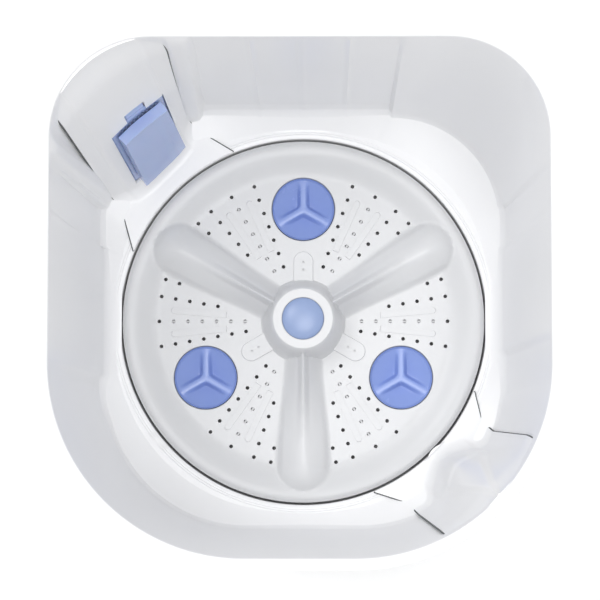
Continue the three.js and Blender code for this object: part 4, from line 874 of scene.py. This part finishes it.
# ---- The pulsator ----
def arm_height(x, y):
    """Three arms: a narrow tall crest at the hub, a broad low dome at the tip."""
    best = np.zeros_like(x)
    for degrees in ARM_ANGLES:
        cx, sy = polar(1, degrees)
        along = x * cx + y * sy
        across = np.abs(y * cx - x * sy)
        half = mix(*ARM_HALF, smooth(30, 150, along))
        share = np.clip(across / half, 0, 1)
        slope = np.cos(share * math.pi / 2)
        dome = slope ** 2 * 0.45 + np.sqrt(np.maximum(0, 1 - share ** 2)) * 0.55
        crest = 0.35 * (1 - smooth(0, 0.3, share)) + 0.65 * slope ** 1.6
        crown = mix(crest, dome * (1 - smooth(0.75, 1, share)), smooth(50, 150, along))
        height = mix(*ARM_RISE, smooth(20, 125, along))
        nose_start = ARM_REACH - half
        nose = np.hypot(np.maximum(0, along - nose_start), across) / half
        tip = np.cos(np.clip(nose, 0, 1) * math.pi / 2) ** 0.8
        value = height * np.where(along > nose_start, np.minimum(crown, tip), crown)
        value = np.where((along > 0) & (across < half), value, 0)
        best = np.maximum(best, value)
    return best


def pulsator_top(x, y):
    """The height of the pulsator's upper face."""
    r = np.hypot(x, y)
    dish = 8.0 * smooth(150, 181, r) - 3.0 * smooth(185, PULSATOR_R, r)
    hub = HUB_RISE * (1 - smooth(HUB_R + 1.5, HUB_R + 15, r))
    return HOLE_PLANE_Z + dish + np.maximum(hub, arm_height(x, y))


def pulsator_rings(radii, drop, steps):
    angles = circle(steps)
    rings = []
    for r in radii:
        x, y = r * np.cos(angles), r * np.sin(angles)
        rings.append(np.column_stack([x, y, pulsator_top(x, y) - drop]))
    return rings


def raised_strip(axis, turn, near, far, half, rise, square_end):
    """A low raised pad on the pulsator, rounded at its outer end, with a bevelled edge."""
    half_turn = np.radians(np.arange(-90, 91, 10))
    outline = [(far - half + half * math.cos(t), half * math.sin(t)) for t in half_turn]
    if square_end:
        outline += [(near, half), (near, -half)]
    else:
        outline += [(near + half - half * math.cos(t), -half * math.sin(t)) for t in half_turn]
    outline = np.array(outline)
    outwards = outline - np.array([(near + far) / 2, 0])
    outwards /= np.linalg.norm(outwards, axis=1, keepdims=True)
    rings = []
    for grow, z in ((0.35, -1.0), (0.35, 0.05), (0.0, rise * 0.7), (-0.35, rise)):
        ring = outline + outwards * grow
        rings.append(np.column_stack([ring, np.full(len(ring), HOLE_PLANE_Z + z)]))
    return moved(loft(rings), turn=axis + turn)


def hole_places():
    places = []
    for axis in ROLLER_ANGLES:
        for side in (-1, 1):
            for turn, count in HOLE_ROWS:
                places += [polar(151 - HOLE_PITCH * k, axis + side * turn) for k in range(count)]
    return places


def pulsator_skin():
    """The disc, hub and arms as one sheet, closer together where the hub rises."""
    top = [19.5, 24, 28, 30.5] + list(np.linspace(32, 46, 9)) + list(np.linspace(49, 186, 62))
    top += [187.6, PULSATOR_R]
    under = [PULSATOR_R, 186, 176, 160, 140, 110, 80, 58, 46, 40, 34, 28, 19.5]
    return loft(pulsator_rings(top, 0, 420) + pulsator_rings(under, PULSATOR_WALL, 420), looped=True)


def socket_hollow():
    """The room for a roller, with a chamfered mouth."""
    profile = [(ON_AXIS, SOCKET_FLOOR_Z), (SOCKET_R, SOCKET_FLOOR_Z), (SOCKET_R, HOLE_PLANE_Z - 0.7)]
    mouth = SOCKET_R + 0.7
    profile += [(mouth, HOLE_PLANE_Z), (mouth, HOLE_PLANE_Z + 30), (ON_AXIS, HOLE_PLANE_Z + 30)]
    return turned(profile, 96)


def pulsator():
    obj = make_object("pulsator_skin", pulsator_skin())
    centres = [polar(ROLLER_ORBIT, axis) for axis in ROLLER_ANGLES]
    cup = (SOCKET_FLOOR_Z - 2.5, HOLE_PLANE_Z - 0.02, 36, 72)
    boolean(obj, combine(*[upright(x, y, *cup) for x, y in centres]), "UNION")
    boolean(obj, rod(CAP_SEAT_R, RECESS_Z + 15, HUB_TOP_Z - 1.5, 64), "UNION")
    boolean(obj, combine(*[moved(socket_hollow(), x, y) for x, y in centres]), "DIFFERENCE")
    hole = (HOLE_PLANE_Z - 6, HOLE_PLANE_Z + 9, HOLE_R, 14)
    pin_hole = (SOCKET_FLOOR_Z - 10, SOCKET_FLOOR_Z + 1, 4.6, 24)
    drills = [upright(x, y, *hole) for x, y in hole_places()]
    drills += [upright(x, y, *pin_hole) for x, y in centres]
    boolean(obj, combine(*drills), "DIFFERENCE")
    for bore in (
        rod(SHAFT_BORE_R, RECESS_Z, SHAFT_BORE_END_Z),
        rod(SCREW_BORE_R, SHAFT_BORE_END_Z - 0.3, HUB_TOP_Z),
        rod(SCREW_SEAT_R, SCREW_SEAT_Z, HUB_TOP_Z + 1, 64),
        rod(CAP_SEAT_R, HUB_TOP_Z - 2, HUB_TOP_Z + 1, 64),
    ):
        boolean(obj, bore, "DIFFERENCE")
    return dress(obj, "pulsator", PULSATOR_SHADED_WHITE, ["pulsator"], 35)


def pulsator_pads():
    """The low pads and ribs between the rollers, and the stirring vanes under the disc."""
    ribs, pads, drills = [], [], []
    for axis in ROLLER_ANGLES:
        for turn in (-34.8, -24.5, 24.5, 34.8):
            ribs.append(raised_strip(axis, turn, 81, 139, 3.1, 0.9, True))
        pads.append(raised_strip(axis, 0, 33, 73, 10.0, 2.0, False))
        for r in (54, 62):
            drills.append(upright(*polar(r, axis), HOLE_PLANE_Z - 8, HOLE_PLANE_Z + 5, 1.3, 12))
    obj = make_object("pads", combine(*pads))
    boolean(obj, combine(*drills), "DIFFERENCE")
    dress(obj, "pulsator", PULSATOR_SHADED_WHITE, (), 35)
    add_piece("pulsator_ribs", combine(*ribs), "pulsator", PULSATOR_SHADED_WHITE, (), 35)
    vane = moved(slab(126, 2.5, 15, 0.8, 0.4), 86, 0, HOLE_PLANE_Z - 17.2)
    vanes = [moved(vane, turn=60 * k) for k in range(6)]
    add_piece("pulsator_vanes", combine(*vanes), "pulsator", PULSATOR_SHADED_WHITE, (), 35)


def hub_cap():
    """A low dome with a ring under it that snaps into the hub."""
    quarter = np.radians(np.linspace(0.01, 90, 26))
    profile = [(CAP_R * math.sin(t), HUB_TOP_Z - 1.2 + 5.2 * math.cos(t)) for t in quarter]
    profile[0] = (ON_AXIS, profile[0][1])
    seat, foot = HUB_TOP_Z - 1.7, HUB_TOP_Z - 8
    profile += [(CAP_R, seat), (19.2, seat), (19.2, foot), (17, foot), (17, seat), (ON_AXIS, seat)]
    cap = turned(profile, 72)
    return add_piece("pulsator_cap", cap, "pulsator", CAP_BLUE, ["hub_cap"], 40)


def roller_height(x, y):
    """A bowl with a raised three-way rib whose arms flare into the rim."""
    r = np.hypot(x, y)
    share = r / ROLLER_R
    bowl = -ROLLER_BOWL + ROLLER_BOWL_RISE * share ** 1.7
    rib = np.full_like(x, -99.0)
    for degrees in ROLLER_ANGLES:
        cx, sy = polar(1, degrees)
        along = x * cx + y * sy
        across = np.abs(y * cx - x * sy)
        half = 2.6 + 1.5 * smooth(0, 6, 6 - along) + 2.4 * smooth(22, 33, along)
        top = -ROLLER_RIB_DROP - 0.25 * (across / 3.0) ** 2
        side = smooth(half, half + 4.4, across)
        one = mix(top, bowl, side)
        rib = np.maximum(rib, np.where(along > -2, one, -99))
    height = np.maximum(bowl, rib)
    return np.where(share > 0.955, mix(height, -0.3, smooth(0.955, 0.985, share)), height)


def roller_rings():
    """The bowl's face, then its rim, underside and snap-in pin."""
    top = HOLE_PLANE_Z + 1
    floor = SOCKET_FLOOR_Z + 1
    angles = circle(144)
    rings = []
    for r in list(np.linspace(0.4, 30.6, 40)) + [31.2, 31.7, 32.1]:
        x, y = r * np.cos(angles), r * np.sin(angles)
        rings.append(np.column_stack([x, y, top + roller_height(x, y)]))
    below = [(ROLLER_R, top - 0.5), (ROLLER_R, floor + 0.8), (ROLLER_R - 0.8, floor), (4.5, floor)]
    below += [(4.5, BARB_Z), (6.0, BARB_Z), (3.5, BARB_Z - 4), (0.4, BARB_Z - 4)]
    for r, z in below:
        flat = np.full(len(angles), z)
        rings.append(np.column_stack([r * np.cos(angles), r * np.sin(angles), flat]))
    return rings


def roller(index):
    name = "roller_%d" % (index + 1)
    cx, cy = polar(ROLLER_ORBIT, ROLLER_ANGLES[index])
    obj = make_object("roller_bowl_%d" % (index + 1), moved(loft(roller_rings()), cx, cy))
    boolean(obj, moved(slab(1.6, 18, 10, 0.3, 0.1), cx, cy, BARB_Z - 5), "DIFFERENCE")
    return dress(obj, name, BLUE, [name], 40)


# ---- Stage, light and camera ----
def add_floor():
    signs = np.array([(-1, -1, 0), (1, -1, 0), (1, 1, 0), (-1, 1, 0)])
    corners = signs * FLOOR_REACH - [0, 0, 0.2]
    mesh = bpy.data.meshes.new("floor")
    mesh.from_pydata((corners * MM).tolist(), [], [(0, 1, 2, 3)])
    floor = bpy.data.objects.new("floor", mesh)
    scene.collection.objects.link(floor)
    nodes = Nodes("floor")
    nodes.colour(nodes.noise(0.6), (0.985, 0.985, 0.985), 0.004)
    nodes.shader.inputs["Roughness"].default_value = 0.9
    floor.data.materials.append(nodes.material)


def add_light(name, place, size, power):
    data = bpy.data.lights.new(name, "AREA")
    data.shape = "DISK"
    data.size = size
    data.energy = power
    light = bpy.data.objects.new(name, data)
    light.location = place
    way = Vector(LIGHT_TARGET) - Vector(place)
    light.rotation_euler = way.to_track_quat("-Z", "Y").to_euler()
    scene.collection.objects.link(light)


def add_lights():
    for light in LIGHTS:
        add_light(*light)
    world = bpy.data.worlds.new("studio")
    world.use_nodes = True
    background = world.node_tree.nodes["Background"]
    background.inputs["Color"].default_value = (1, 1, 1, 1)
    background.inputs["Strength"].default_value = WORLD_STRENGTH
    scene.world = world


def add_camera():
    data = bpy.data.cameras.new("camera")
    data.sensor_width = 36.0
    data.lens = CAMERA_LENS
    camera = bpy.data.objects.new("camera", data)
    place = Vector(CAMERA_PLACE)
    forward = (Vector(CAMERA_AIM) - place).normalized()
    right = forward.cross(Vector((0, 1, 0))).normalized()
    up = right.cross(forward)
    rotation = Matrix((right, up, -forward)).transposed()
    camera.matrix_world = Matrix.Translation(place) @ rotation.to_4x4()
    scene.collection.objects.link(camera)
    scene.camera = camera


# ---- What the CAD bodies without a piece of their own are made of ----
CAD_MATERIALS = {
    "cabinet": BODY_WHITE, "back_cover": BODY_WHITE, "base_tray": GREY, "control_panel": PANEL_GREY,
    "lint_filter_cage": PALE_BLUE, "indicator_lens": PALE_BLUE, "timer_knob": WHITE, "selector_knob": WHITE,
    "motor_windings": COPPER, "motor_stator": CORE, "drive_shaft": BRUSHED, "motor_rotor": BRUSHED,
}
SLOT_MATERIALS = {
    "white_plastic": WHITE, "cabinet_plastic": BODY_WHITE, "blue_plastic": BLUE,
    "pale_blue_plastic": PALE_BLUE, "grey_plastic": GREY, "black_plastic": BLACK, "rubber": RUBBER,
    "steel": STEEL, "aluminium": CAST, "bronze": BRONZE, "copper_wire": COPPER,
}


def dress_cad_bodies():
    for part in frame["record"]["subparts"]:
        node = part["node"]
        materials = NODES[node].data.materials
        materials.clear()
        materials.append(CAD_MATERIALS.get(node, SLOT_MATERIALS[part["material_slot"]]))


# ---- Build ----
scene.view_settings.view_transform = "Standard"
scene.view_settings.look = "None"
scene.view_settings.exposure = 0.0
add_camera()
add_lights()
add_floor()
wash_tub()
duct_cover()
# Dark strips along the covers' borders, as painted shadow lines.
shadow_line_strip("duct_shadow_line_right", Duct, 1)
shadow_line_strip("duct_shadow_line_left", Duct, -1)
lint_filter()
filter_latch()
overflow_cover()
shadow_line_strip("overflow_shadow_line_right", Overflow, 1)
shadow_line_strip("overflow_shadow_line_left", Overflow, -1)
pulsator()
pulsator_pads()
hub_cap()
for number in range(len(ROLLER_ANGLES)):
    roller(number)
dress_cad_bodies()
